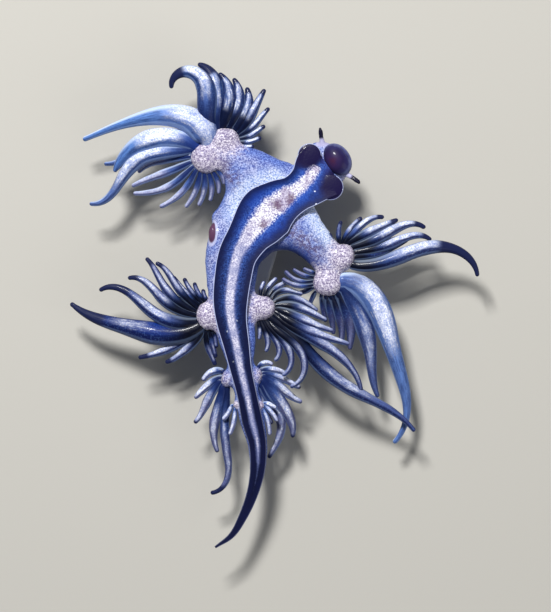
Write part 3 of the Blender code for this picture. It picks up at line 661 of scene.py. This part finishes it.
def in_spots(co, spots):
    """How far inside a round spot each point is: 1 at its centre and 0 at its edge."""
    spots = [1 - lengths(co[:, :2] - (x, y)) / radius for x, y, radius in spots]
    return np.max(spots, axis=0)


def skin_marks(mesh):
    """Writes what the skin's colours follow: places on the foot, flanks, pads and feelers."""
    co, normals = points(mesh)
    count = len(co)
    nearest = np.concatenate([
        np.argmin(((part[:, None, :2] - SPINE[None, :, :2]) ** 2).sum(2), axis=1)
        for part in np.array_split(co, max(1, count // MARKED_AT_ONCE))
    ])
    station = SPINE_AT[nearest]
    offset = co[:, :2] - SPINE[nearest, :2]
    forward = SPINE_FORWARD[nearest]
    aside = -forward[:, 1] * offset[:, 0] + forward[:, 0] * offset[:, 1]
    margin = SPINE[nearest, 3] - np.abs(aside)
    margin = np.where(nearest == 0, -lengths(offset), margin)
    for x, y, radius in LOBES:
        margin = np.maximum(margin, radius - lengths(co[:, :2] - (x, y)))
    at, half, shift = np.array(STRIPE).T
    stripe = np.interp(station, at, half) - np.abs(aside + np.interp(station, at, shift))

    pads = []
    for name, fan in FANS.items():
        reach = np.array((fan.pad.semi[0], fan.pad.semi[0], PAD_DEPTH))
        if "tail" in name:
            reach = reach * TAIL_PAD_SHARE
        pads.append(lengths((co - fan.pad.at) / reach))
    feelers = np.zeros(count)
    for feeler in FEELERS.values():
        root, tip = np.array(feeler.root), np.array(feeler.tip)
        share = ((co - root) @ (tip - root)) / ((tip - root) ** 2).sum()
        line = root + np.clip(share, 0, 1)[:, None] * (tip - root)
        near = lengths(co - line) < FEELER_REACH
        feelers = np.where(near, np.maximum(feelers, share), feelers)

    # The right arm's front edge, blue; the left arm's hind edge, darkened as painted shade; the
    # left arm's front edge, made paler as painted light, with the pale flesh of the right flank
    # beside the front of the foot; and the left flank behind the arm, as far as the fans, blue
    right_arm, left_arm = ARMS.values()
    ahead = near_line(co, [rib.right for rib in right_arm[2:]], 1.5, 0.3)
    behind = near_line(co, [rib.left for rib in left_arm[:-1]], 1.5, 0.2)
    bright = near_line(co, [rib.right for rib in left_arm[1:]], 2.2, 0.3)
    front_right = smoothstep(3.5, 4.5, station) * smoothstep(8.5, 7.0, station) * (aside < 0)
    bright = np.maximum(bright, smoothstep(-1.9, -0.2, margin) * front_right)
    left_side = smoothstep(-0.2, 0.3, aside - SPINE[nearest, 3]) * smoothstep(8.2, 9.2, station)
    marks = {
        "station": station,
        "margin": margin,
        "stripe": stripe,
        "lobe": np.maximum(-1, in_spots(co, DARK_CORNERS)),
        "below": co[:, 2] - SPINE[nearest, 2],
        "pad": np.min(pads, axis=0),
        "feeler": feelers,
        "papilla": lengths((co - PAPILLA_AT) / PAPILLA_SEMI),
        "blue": np.maximum(ahead, left_side * (np.abs(aside) < FLANK_REACH)),
        "navy": behind,
        "bright": bright,
        "dusk": np.max([near_line(co, line, 1.4, 0.2) for line in DUSK], axis=0),
        "blotch": np.maximum(0, in_spots(co, BLOTCHES)),
        "facing": normals[:, 2],
    }
    for name, values in marks.items():
        layer = mesh.attributes.new(name, "FLOAT", "POINT")
        layer.data.foreach_set("value", values.astype(np.float32))


def points(mesh):
    """A mesh's vertices and their normals, as two arrays."""
    co = np.zeros(len(mesh.vertices) * 3, np.float32)
    mesh.vertices.foreach_get("co", co)
    normals = np.zeros_like(co)
    mesh.vertex_normals.foreach_get("vector", normals)
    return co.reshape(-1, 3), normals.reshape(-1, 3)


def add_lumps(mesh):
    """Low lumps on flanks and arms and finer ones on pads, which leave foot and feelers smooth."""
    co, normals = points(mesh)
    count = len(co)
    below, feelers, pads = np.zeros((3, count), np.float32)
    mesh.attributes["below"].data.foreach_get("value", below)
    mesh.attributes["feeler"].data.foreach_get("value", feelers)
    mesh.attributes["pad"].data.foreach_get("value", pads)
    free = (below < LUMPS_BELOW) * (feelers < FEELER_START)
    low = np.array([noise.noise(Vector(point) / LUMP_SIZE) for point in co])
    fine = np.array([noise.noise(Vector(point) / PAD_GRAIN) for point in co])
    fine *= smoothstep(1.3, 0.9, pads)
    co += normals * (free * (LUMP_HEIGHT * low + PAD_GRAIN_HEIGHT * fine))[:, None]
    mesh.vertices.foreach_set("co", co.ravel())


def soften(obj, centres, rounds):
    """Smooths creases near some centres, each given as x, y, z and a radius."""
    co, _ = points(obj.data)
    group = obj.vertex_groups.new(name="soft")
    near = np.zeros(len(co))
    for x, y, z, radius in centres:
        away = lengths(co - (x, y, z)) / radius
        near = np.maximum(near, smoothstep(*SOFTENED, away))
    for index in np.flatnonzero(near):
        group.add([int(index)], float(near[index]), "REPLACE")
    smooth = obj.modifiers.new("soften", "SMOOTH")
    smooth.factor = RELAX
    smooth.iterations = rounds
    smooth.vertex_group = group.name
    apply_modifiers(obj)


def skin():
    bm = new_bmesh()
    add_masses(bm)
    masses = to_object("masses", bm)
    body = new_object("skin", masses.data.copy())
    melt(body, MELT_VOXEL, MELT_SMOOTHING)
    bm = new_bmesh()
    for feeler in FEELERS.values():
        add_feeler(bm, feeler)
    bm.from_mesh(masses.data)
    bm.from_mesh(body.data)
    bpy.data.objects.remove(masses)
    bpy.data.objects.remove(body)
    body = to_object("skin", bm)
    melt(body, SKIN_VOXEL, SKIN_SMOOTHING)
    soften(body, [(*fan.pad.at, fan.pad.semi[0]) for fan in FANS.values()], PAD_SMOOTHING)
    bm = new_bmesh()
    add_foot(bm)
    foot = to_object("foot", bm)
    unite(foot, [lobe(*values) for values in LOBES])
    soften(foot, [(x, y, LOBE_TOP, radius) for x, y, radius in LOBES], LOBE_SMOOTHING)
    unite(foot, [mouth_ball(MOUTH_GAP)], "DIFFERENCE")
    unite(body, [foot])
    skin_marks(body.data)
    add_lumps(body.data)
    nodes = ["foot_front", "torso_front", "torso_rear", "tail_base", "tail_middle", "tail_tip"]
    finish_piece(body, wet_skin(), [*nodes, "head", *ARMS, *FEELERS])


# Gill fans


def rim_point(pad, angle, share=1.0):
    """A point on the pad's level outline, or inside it, at an angle round its centre."""
    turned = math.radians(angle - pad.turn)
    long, wide = pad.semi
    reach = share * long * wide / math.hypot(wide * math.cos(turned), long * math.sin(turned))
    return Vector(pad.at) + level(angle) * reach


def cerata_of(fan):
    """Every ceras of a fan: the named ones, and those between them in even steps."""
    table = np.array([ceras[:-1] for ceras in fan.cerata], float)
    dyes = {ceras.rank: ceras.dye for ceras in fan.cerata}
    for rank in range(int(table[0, 0]), int(table[-1, 0]) + 1):
        values = [float(np.interp(rank, table[:, 0], column)) for column in table.T]
        yield Ceras(*values, dyes.get(rank) or fan.dye)


def ceras_radius(ceras, share):
    """Radius along a ceras: its root, its widest part, a long taper and a round tip."""
    widest = ceras.girth / 2
    tip = min(widest, TIP_RADIUS + TIP_SHARE * ceras.girth)
    grown = min(1, share / (SWELL_SHARE * ceras.waist))
    swell = ROOT_SHARE + (1 - ROOT_SHARE) * math.sin(math.pi / 2 * grown)
    left = min(1, max(0, (TAPER_END - share) / (TAPER_END - ceras.waist)))
    cap = min(1, (1 - share) * ceras.length / tip)
    rounding = math.sqrt(max(TIP_END, 1 - (1 - cap) ** 2))
    return (tip + (widest * swell - tip) * left**ceras.taper) * rounding


def ceras_line(fan, ceras):
    """Centre points from the pad's rim to the tip."""
    longest = max(c.length for c in fan.cerata)
    point = rim_point(fan.pad, ceras.root)
    base = point.z
    step = ceras.length / LINE_STEPS
    line = [point]
    for i in range(LINE_STEPS):
        share = (i + 0.5) / LINE_STEPS
        turned = ceras.bend * share + ceras.hook * share**3
        turned += ceras.sway * math.sin(2 * math.pi * share)
        point = point + level(ceras.heading + turned) * step
        gone = step * (i + 1)
        rise = ceras.lift * (1 - math.exp(-gone / GILL_SETTLE))
        point.z = base + rise - fan.sag * (gone / longest) ** 2
        line.append(point)
    return line


def add_ceras(bm, fan, ceras, draw):
    line = ceras_line(fan, ceras)
    evenly = [i / (GILL_RINGS - 2) for i in range(GILL_RINGS - 1)]
    shares = [0.0] + [1 - (1 - share) ** RING_CROWDING for share in evenly]
    stops = [rim_point(fan.pad, ceras.root, 1 - GILL_SETBACK)]
    for share in shares[1:]:
        at = share * LINE_STEPS
        i = min(int(at), LINE_STEPS - 1)
        stops.append(line[i].lerp(line[i + 1], at - i))
    wave = draw.uniform(0, 2 * math.pi)
    frames = []
    for i, stop in enumerate(stops):
        along = (stops[min(i + 1, len(stops) - 1)] - stops[max(i - 1, 0)]).normalized()
        side = along.cross(UP).normalized()
        radius = ceras_radius(ceras, shares[i]) * (SUNK_SHARE if i == 0 else 1)
        gone = WAVE_RATE * shares[i] * ceras.length / ceras.girth
        radius *= 1 + WAVE_HEIGHT * math.sin(gone + wave)
        frames.append((stop, side, side.cross(along), radius))

    def section(ring, x, y):
        centre, side, over, radius = frames[ring]
        return centre + side * (x * radius) + over * (y * radius * GILL_FLATNESS)

    def facing(way):
        return lambda ring, x, y: (frames[ring][1] * x + frames[ring][2] * y) @ way

    dye = ceras.dye
    tube(
        bm, GILL_RINGS, GILL_SIDES, section,
        along=lambda ring, x, y: shares[ring],
        run=lambda ring, x, y: shares[ring] * ceras.length,
        across=lambda ring, x, y: x * ceras.girth / 2,
        crest=facing(CREST_WAY),
        lit=facing(LIGHT_SIDE_WAY),
        tone=draw.uniform(-1, 1),
        root_end=dye.root * draw.uniform(*ROOT_SPREAD),
        streak_start=dye.streak[0],
        streak_end=dye.streak[1],
        tip_start=dye.tip * draw.uniform(*TIP_SPREAD),
        silver=dye.silver,
        pale=dye.pale,
        blue=dye.blue,
    )


def gill_fans():
    material = gill_skin()
    draw = random.Random(SEED)
    for name, fan in FANS.items():
        bm = new_bmesh(*CERAS_MARKS)
        for ceras in cerata_of(fan):
            add_ceras(bm, fan, ceras, draw)
        finish_piece(to_object(name + "_fingers", bm), material, [name])


def mouth():
    """The domed mouth, with the line of its lips pressed into the front."""
    ball = mouth_ball()
    co, normals = points(ball.data)
    front = level(MOUTH_TURN)
    across = Vector((-front.y, front.x, 0))
    lip_way = front * math.sin(LIP_TILT) - UP * math.cos(LIP_TILT)
    out = co - np.array(MOUTH_AT)
    lip = (out @ np.array(lip_way) - LIP_RISE) / LIP_WIDTH
    ahead = np.maximum(0, out @ np.array(front) / MOUTH_SEMI.x)
    inner = np.maximum(0, 1 - np.abs(out @ np.array(across)) / LIP_HALF)
    co -= normals * (LIP_DEPTH * np.exp(-(lip**2)) * ahead * inner)[:, None]
    ball.data.vertices.foreach_set("co", co.ravel())
    finish_piece(ball, mouth_skin(), ["mouth"])


# Finishes


def paint(code):
    """A colour given as an sRGB hex value, as the linear one that the shaders work in."""
    values = [int(code[i : i + 2], 16) / 255 for i in (1, 3, 5)]
    return (*[v / 12.92 if v <= 0.04045 else ((v + 0.055) / 1.055) ** 2.4 for v in values], 1)


def fill(socket, value):
    """Gives an input its value: a number, a hex colour, an output, or a node's first output."""
    if isinstance(value, bpy.types.Node):
        value = next(output for output in value.outputs if output.enabled)
    if isinstance(value, bpy.types.NodeSocket):
        socket.id_data.links.new(value, socket)
    else:
        socket.default_value = paint(value) if isinstance(value, str) else value


def add_node(tree, kind, *values, stops=(), **named):
    """Adds a shader node with its settings and links. Materials call it as add, for their own tree.

    Values fill its inputs in order, a capital name fills that input, and any other is a setting.
    """
    node = tree.nodes.new("ShaderNode" + kind)
    for name in [name for name in named if name.islower()]:
        setattr(node, name, named.pop(name))
    for socket, value in zip([socket for socket in node.inputs if socket.enabled], values):
        fill(socket, value)
    for name, value in named.items():
        fill(node.inputs[name], value)
    for i, (position, colour) in enumerate(stops):
        ramp = node.color_ramp.elements
        stop = ramp[i] if i < 2 else ramp.new(position)
        stop.position = position
        stop.color = paint(colour)
    return node


def new_material(name, looks):
    """A material with the looks given, and what adds nodes to it."""
    material = bpy.data.materials.new(name)
    material.use_nodes = True
    tree = material.node_tree
    shader = tree.nodes["Principled BSDF"]
    for socket, value in looks.items():
        fill(shader.inputs[socket], value)
    return material, partial(add_node, tree), shader


# A thin film of water, which gives small sharp glints, over flesh that hardly shines itself
WET = {"IOR": 1.4, "Specular IOR Level": 0.15, "Coat Roughness": 0.1, "Coat IOR": 1.33}

SMOOTH = {"interpolation_type": "SMOOTHSTEP"}
COLOURS = {"data_type": "RGBA"}
TIMES = {"operation": "MULTIPLY"}
TIMES_PLUS = {"operation": "MULTIPLY_ADD"}
LESS = {"operation": "SUBTRACT"}
OVER = {"operation": "DIVIDE"}


def wet_skin():
    """Living slug skin: wet, with grains of silver, violet and blue pigment in clear flesh."""
    looks = {**WET, "Roughness": 0.42, "Coat Weight": 0.35}
    material, add, shader = new_material("wet_slug_skin", looks)
    place = add("TexCoord").outputs["Object"]
    mark = {name: add("Attribute", attribute_name=name).outputs["Fac"] for name in SKIN_MARKS}

    # Grains of pigment, which are finer in life and 0.16 mm apart here so that they show, in
    # clusters 0.34 mm and clouds 1.4 mm across, and dark specks 0.3 mm apart. Cells 1.4 mm apart
    # place a few painted glints of light on the wet film
    grain = add("TexNoise", place, 1 / (0.16 * MM), 2.0, 0.7)
    cluster = add("TexNoise", place, 1 / (0.34 * MM), 2.0, 0.7)
    cloud = add("TexNoise", place, 1 / (1.4 * MM), 3.0)
    speck = add("TexVoronoi", place, 1 / (0.3 * MM))
    glint_cells = add("TexVoronoi", place, 1 / (1.4 * MM))
    fine = add("MapRange", grain, 0.34, 0.66, **SMOOTH)

    # Flanks and arms: lavender blue, with dark granules, and silver where they face up, partly the
    # flesh's own silver and partly painted light from above
    silvery = add("Mix", fine, "#434e94", "#b4bce2", **COLOURS)
    bluer = add("Mix", fine, "#2a3f92", "#6f8bd6", **COLOURS)
    pale_and_lit_edge = add("Mix", fine, "#8fabe2", "#eef4ff", **COLOURS)
    silver_and_lit_top = add("MapRange", mark["facing"], 0.3, 0.85, **SMOOTH)
    patches = add("MapRange", cloud, 0.42, 0.6, 0.0, 0.7, **SMOOTH)
    granules = add("MapRange", speck, 0.32, 0.14, 0.0, 0.6, **SMOOTH)
    dusty = add("MapRange", cluster, 0.4, 0.6, 0.0, 0.8, **SMOOTH)
    flank = bluer
    for mask, coat in (
        (silver_and_lit_top, silvery),
        (patches, add("Mix", fine, "#344a9c", "#8299d6", **COLOURS)),
        (add("Math", mark["blue"], 0.85, **TIMES), bluer),
        # Paler on the left arm's front edge, a painted highlight, and on the pale flesh beside the
        # foot
        (add("Math", mark["bright"], 0.85, **TIMES), pale_and_lit_edge),
        # Navy on the left arm's hind edge, a painted shade
        (add("Math", mark["navy"], 0.9, **TIMES), "#1f3479"),
        (granules, "#3a4886"),
        (add("Math", mark["dusk"], dusty, **TIMES), "#53466a"),
    ):
        flank = add("Mix", mask, flank, coat, **COLOURS)

    # Pads: pinkish grey velvet that thins out along the arm
    velvet = add("Mix", fine, "#6c6086", "#ece5f1", **COLOURS)
    worn = add("MapRange", cluster, 0.46, 0.64, 0.0, 0.6, **SMOOTH)
    velvet = add("Mix", worn, velvet, "#7e6f92", **COLOURS)
    border = add("Math", cluster, 1.2, mark["pad"], **TIMES_PLUS)

    # The velvet's border is uneven. The genital papilla is purple brown with a pale ring
    for mask, coat in (
        (add("MapRange", border, 2.5, 1.5, **SMOOTH), velvet),
        (add("MapRange", mark["papilla"], 1.7, 1.35, 0.0, 0.7, **SMOOTH), "#c9cbe6"),
        (add("MapRange", mark["papilla"], 1.25, 1.05, **SMOOTH), "#5a3a55"),
    ):
        flank = add("Mix", mask, flank, coat, **COLOURS)

    # Foot: cobalt in front, navy behind and along its edge, plum in its corners, with dust beside
    # the stripe
    share = add("Math", mark["station"], float(LAST), **OVER)
    sole = add("ValToRGB", share, stops=(
        (0.0, "#2a2762"), (1.0, "#030411"), (0.07, "#24357c"), (0.16, "#153c98"), (0.32, "#123084"),
        (0.42, "#0f2058"), (0.6, "#091036"), (0.75, "#04071c"),
    ))
    shade = add("MapRange", cloud, 0.5, 0.66, 0.0, 0.6, **SMOOTH)
    beside = add("Math", cluster, 0.8, mark["stripe"], **TIMES_PLUS)
    dust = add("MapRange", beside, -0.6, 0.5, 0.1, 0.65, **SMOOTH)
    dust = add("Math", dust, fine, **TIMES)
    clean = add("MapRange", mark["station"], 8.0, 15.0, 1.0, 0.0)
    hem = add("Math", cloud, 1.2, mark["margin"], **TIMES_PLUS)
    corner = add("Math", cloud, 0.3, mark["lobe"], **TIMES_PLUS)
    for mask, coat in (
        (shade, "#0b1240"),
        (add("Math", dust, clean, **TIMES), "#4f7ad6"),
        (add("MapRange", hem, 1.8, 0.8, 0.0, 0.85, **SMOOTH), "#0c1136"),
        (add("MapRange", corner, 0.1, 0.6, **SMOOTH), "#160f3a"),
    ):
        sole = add("Mix", mask, sole, coat, **COLOURS)

    # The stripe: silver and pinkish grains with plum blotches and a grainy edge in front, and
    # smooth with a blue haze along its edges behind
    rough = add("MapRange", mark["station"], 7.0, 11.0, 0.9, 0.2)
    edge = add("Math", grain, rough, mark["stripe"], **TIMES_PLUS)
    edge = add("Math", cloud, rough, edge, **TIMES_PLUS)
    edge = add("Math", edge, rough, **LESS)
    front = add("Mix", fine, "#9a8fb2", "#ffffff", **COLOURS)
    core = add("MapRange", mark["stripe"], -0.05, 0.25, **SMOOTH)
    bright = add("Mix", fine, "#8f8fb4", "#e2dfee", **COLOURS)
    rear = add("Mix", core, "#5f6ca6", bright, **COLOURS)
    dull = add("MapRange", cloud, 0.46, 0.62, 0.0, 0.6, **SMOOTH)
    rear = add("Mix", dull, rear, "#7078a8", **COLOURS)
    behind = add("MapRange", mark["station"], 6.5, 9.0, **SMOOTH)
    mottle = add("MapRange", cloud, 0.44, 0.58, 0.0, 0.85, **SMOOTH)
    plum = add("Math", cluster, 1.6, mark["blotch"], **TIMES_PLUS)
    silver = front
    for mask, coat in (
        (mottle, add("Mix", fine, "#7a6b90", "#c2b9d2", **COLOURS)),
        (add("MapRange", plum, 1.0, 1.6, 0.0, 0.85, **SMOOTH), "#5f4260"),
        (behind, rear),
    ):
        silver = add("Mix", mask, silver, coat, **COLOURS)

    # Lip of the foot: a thin pale line that ends at the tail. A few painted glints, small white
    # spots of light reflected by the wet film, are uneven, as grains are
    glint = add("Math", cluster, 0.2, glint_cells, **TIMES_PLUS)
    glint = add("MapRange", glint, 0.19, 0.15, 0.0, 0.9, **SMOOTH)
    lip = add("MapRange", mark["margin"], 0.1, 0.04, 0.0, 0.9, **SMOOTH)
    fading = add("MapRange", mark["station"], 13.0, 16.0, 1.0, 0.15)
    for mask, coat in (
        (add("MapRange", edge, -0.2, 0.25, **SMOOTH), silver),
        (add("Math", glint, clean, **TIMES), "#eef3ff"),
        (add("Math", lip, fading, **TIMES), "#b9c2ea"),
    ):
        sole = add("Mix", mask, sole, coat, **COLOURS)

    # Feelers: pale at the root, nearly black at the tip
    colour = flank
    for mask, coat in (
        (add("MapRange", mark["below"], -0.38, -0.24, **SMOOTH), sole),
        (add("MapRange", mark["feeler"], 0.3, 0.42, **SMOOTH), "#b3b0d2"),
        (add("MapRange", mark["feeler"], 0.58, 0.68, **SMOOTH), "#14132b"),
    ):
        colour = add("Mix", mask, colour, coat, **COLOURS)
    fill(shader.inputs["Base Color"], colour)

    # Grains stand out a little, and the film of water over them is uneven every 0.8 mm
    relief = add("Bump", Height=grain, Strength=0.5, Distance=0.05 * MM)
    fill(shader.inputs["Normal"], relief)
    ripple = add("TexNoise", place, 1 / (0.8 * MM), 2.0)
    film = add("Bump", Height=ripple, Strength=0.6, Distance=0.12 * MM)
    fill(shader.inputs["Coat Normal"], film)
    return material


def gill_skin():
    """The skin of the cerata: wet, navy to steel blue, with silver grains along the crest."""
    looks = {**WET, "Roughness": 0.42, "Coat Weight": 0.25}
    material, add, shader = new_material("wet_gill_skin", looks)
    place = add("TexCoord").outputs["Object"]
    mark = {name: add("Attribute", attribute_name=name).outputs["Fac"] for name in CERAS_MARKS}

    # Grains 0.16 mm apart as on the body, clouds 0.9 mm across, and streaks 0.24 mm wide that run
    # five times as far, in a new pattern on each ceras
    grain = add("TexNoise", place, 1 / (0.16 * MM), 2.0, 0.7)
    cloud = add("TexNoise", place, 1 / (0.9 * MM), 2.0)
    fine = add("MapRange", grain, 0.34, 0.66, **SMOOTH)
    stretched = add("Math", mark["run"], 5.0, **OVER)
    apart = add("Math", mark["tone"], 9.0, **TIMES)
    drawn = add("CombineXYZ", stretched, mark["across"], apart)
    streaks = add("TexNoise", drawn, 1 / 0.24, 2.0, 0.6)

    # Flesh: blue, with a lilac or steel outer part, and pale underneath. Beside the crest it is
    # dark, partly the dark blue of its sides and partly painted shade where the fingers crowd
    lilac = add("Mix", mark["pale"], "#3a3e72", "#a2a4ce", **COLOURS)
    steel = add("Mix", mark["pale"], "#1b2f6c", "#5c84c8", **COLOURS)
    outward = add("MapRange", mark["along"], 0.28, 0.55, **SMOOTH)
    depth = add("MapRange", mark["pale"], 0.2, 0.9, 0.92, 0.45)
    crease_shade = add("MapRange", mark["crest"], 0.92, 0.62, **SMOOTH)
    flesh = add("Mix", mark["pale"], "#12307f", "#6484c8", **COLOURS)
    for mask, coat in (
        (outward, add("Mix", mark["blue"], lilac, steel, **COLOURS)),
        (add("MapRange", streaks, 0.44, 0.62, 0.0, 0.5, **SMOOTH), "#131f57"),
        (add("Math", crease_shade, depth, **TIMES), "#0c1342"),
        (add("MapRange", grain, 0.48, 0.74, 0.0, 0.2, **SMOOTH), "#6f98e0"),
        (add("MapRange", mark["crest"], -0.3, -0.6, 0.0, 0.8, **SMOOTH), "#7f8bb0"),
    ):
        flesh = add("Mix", mask, flesh, coat, **COLOURS)

    # Roots: navy, made nearly black on the dark ones as painted shade where the fingers crowd at
    # the pad. Edges:
    # clear pale flesh, with a painted highlight on the side towards the light
    reach = add("Math", mark["along"], mark["root_end"], **LESS)
    root = add("MapRange", reach, 0.1, -0.2, 0.0, 0.95, **SMOOTH)
    open_flesh = add("MapRange", mark["pale"], 0.3, 0.9, 0.0, 1.0)
    clear = add("MapRange", mark["pale"], 0.1, 0.9, 0.15, 0.4)
    edge = add("MapRange", mark["crest"], 0.42, 0.25, **SMOOTH)
    # A painted highlight on the side of each ceras that faces the light
    rim = add("MapRange", mark["lit"], 0.55, 0.9, 0.0, 0.9, **SMOOTH)
    for mask, coat in (
        (root, add("Mix", open_flesh, "#01020c", "#1c3278", **COLOURS)),
        (add("Math", edge, clear, **TIMES), "#9db8ea"),
        (add("Math", rim, mark["pale"], **TIMES), "#cfe0fb"),
    ):
        flesh = add("Mix", mask, flesh, coat, **COLOURS)

    # The silver streak on the crest, partly silver pigment and partly a painted highlight on the
    # side towards the light, and the dark tip
    ridge = add("Math", streaks, 0.6, mark["crest"], **TIMES_PLUS)
    ridge = add("Math", mark["pale"], 0.3, ridge, **TIMES_PLUS)
    ridge = add("MapRange", ridge, 1.05, 1.42, **SMOOTH)
    start = add("Math", mark["along"], mark["streak_start"], **LESS)
    end = add("Math", mark["along"], mark["streak_end"], **LESS)
    tip = add("Math", mark["along"], mark["tip_start"], **LESS)
    for part in (
        add("MapRange", cloud, 0.34, 0.52, 0.6, 1.0, **SMOOTH),
        add("MapRange", start, -0.1, 0.1, **SMOOTH),
        add("MapRange", end, 0.08, -0.1, **SMOOTH),
        mark["silver"],
    ):
        ridge = add("Math", ridge, part, **TIMES)
    colour = flesh
    for mask, coat in (
        (ridge, add("Mix", fine, "#a4b2e2", "#fafbff", **COLOURS)),
        (add("MapRange", tip, -0.03, 0.03, **SMOOTH), "#1a2146"),
    ):
        colour = add("Mix", mask, colour, coat, **COLOURS)
    fill(shader.inputs["Base Color"], colour)
    relief = add("Bump", Height=streaks, Strength=0.5, Distance=0.08 * MM)
    fill(shader.inputs["Normal"], relief)
    return material


def mouth_skin():
    """The lips' skin: wet and smooth, plum with a maroon middle and a blue-grey film at the rim."""
    looks = {**WET, "Roughness": 0.45, "Coat Weight": 0.35}
    material, add, shader = new_material("wet_mouth_skin", looks)
    place = add("TexCoord").outputs["Object"]

    # Maroon in the middle and blue grey 2.2 mm away, with clouds 0.7 mm across
    middle = (MOUTH_AT + Vector((-0.5, -0.2, 0.9))) * MM
    away = add("VectorMath", place, middle, operation="DISTANCE").outputs["Value"]
    clouds = add("TexNoise", place, 1 / (0.7 * MM), 3.0)
    away = add("Math", away, 1 / (2.2 * MM), **TIMES)
    away = add("Math", clouds, 0.3, away, **TIMES_PLUS)
    colour = add("ValToRGB", away, stops=(
        (0.12, "#43203a"), (1.0, "#5b618f"), (0.36, "#30204a"), (0.62, "#241c44"),
        (0.84, "#2c2a58"),
    ))
    fill(shader.inputs["Base Color"], colour)
    return material


def satin_white():
    """Cast acrylic, fine sanded: white, with a faint cloudiness and grain."""
    looks = {"IOR": 1.49, "Roughness": 0.4}
    material, add, shader = new_material("satin_cast_acrylic", looks)
    place = add("TexCoord").outputs["Object"]

    # Clouds 3 mm across, and sanding marks 0.15 mm apart, coarser than real ones so that they show
    clouds = add("TexNoise", place, 1 / (3.0 * MM), 4.0)
    colour = add("ValToRGB", clouds, stops=((0.3, "#e6e4de"), (0.7, "#efeeea")))
    fill(shader.inputs["Base Color"], colour)
    sanding = add("TexNoise", place, 1 / (0.15 * MM), 2.0)
    relief = add("Bump", Height=sanding, Strength=0.2, Distance=0.02 * MM)
    fill(shader.inputs["Normal"], relief)
    return material


def stand():
    material = satin_white()
    for name in ("stand_base", "stand_rod_front", "stand_rod_rear"):
        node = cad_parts[name]
        node.data.materials.clear()
        node.data.materials.append(material)


# Floor, light and camera


def studio():
    bm = bmesh.new()
    bmesh.ops.create_grid(bm, x_segments=1, y_segments=1, size=FLOOR_SIZE)
    floor = to_object("floor", bm)
    looks = {"Base Color": "#bab7af", "IOR": 1.4, "Roughness": 0.8}
    floor.data.materials.append(new_material("matt_pale_board", looks)[0])

    world = bpy.data.worlds.new("studio")
    world.use_nodes = True
    sky = world.node_tree.nodes["Background"]
    fill(sky.inputs["Color"], "#dfe6f2")
    fill(sky.inputs["Strength"], 0.17)
    bpy.context.scene.world = world
    bpy.context.scene.view_settings.view_transform = "Standard"

    for name, place, size, power in (
        ("key", (-60, 170, 290), 60, 1.5),
        ("fill", (220, -160, 240), 220, 0.22),
    ):
        lamp = bpy.data.lights.new(name, "AREA")
        lamp.energy = power
        lamp.size = size * MM
        obj = new_object(name, lamp)
        obj.location = Vector(place) * MM
        obj.rotation_euler = (LIT_AT - Vector(place)).to_track_quat("-Z", "Y").to_euler()


def camera():
    data = bpy.data.cameras.new("camera")
    data.sensor_width = SENSOR
    data.lens = SENSOR * (CAMERA_HEIGHT - PHOTO_CENTRE.z) / PHOTO_HEIGHT
    data.clip_start = 0.01
    obj = new_object("camera", data)
    obj.location = Vector((*PHOTO_CENTRE.xy, CAMERA_HEIGHT)) * MM
    bpy.context.scene.camera = obj


skin()
gill_fans()
mouth()
stand()
studio()
camera()
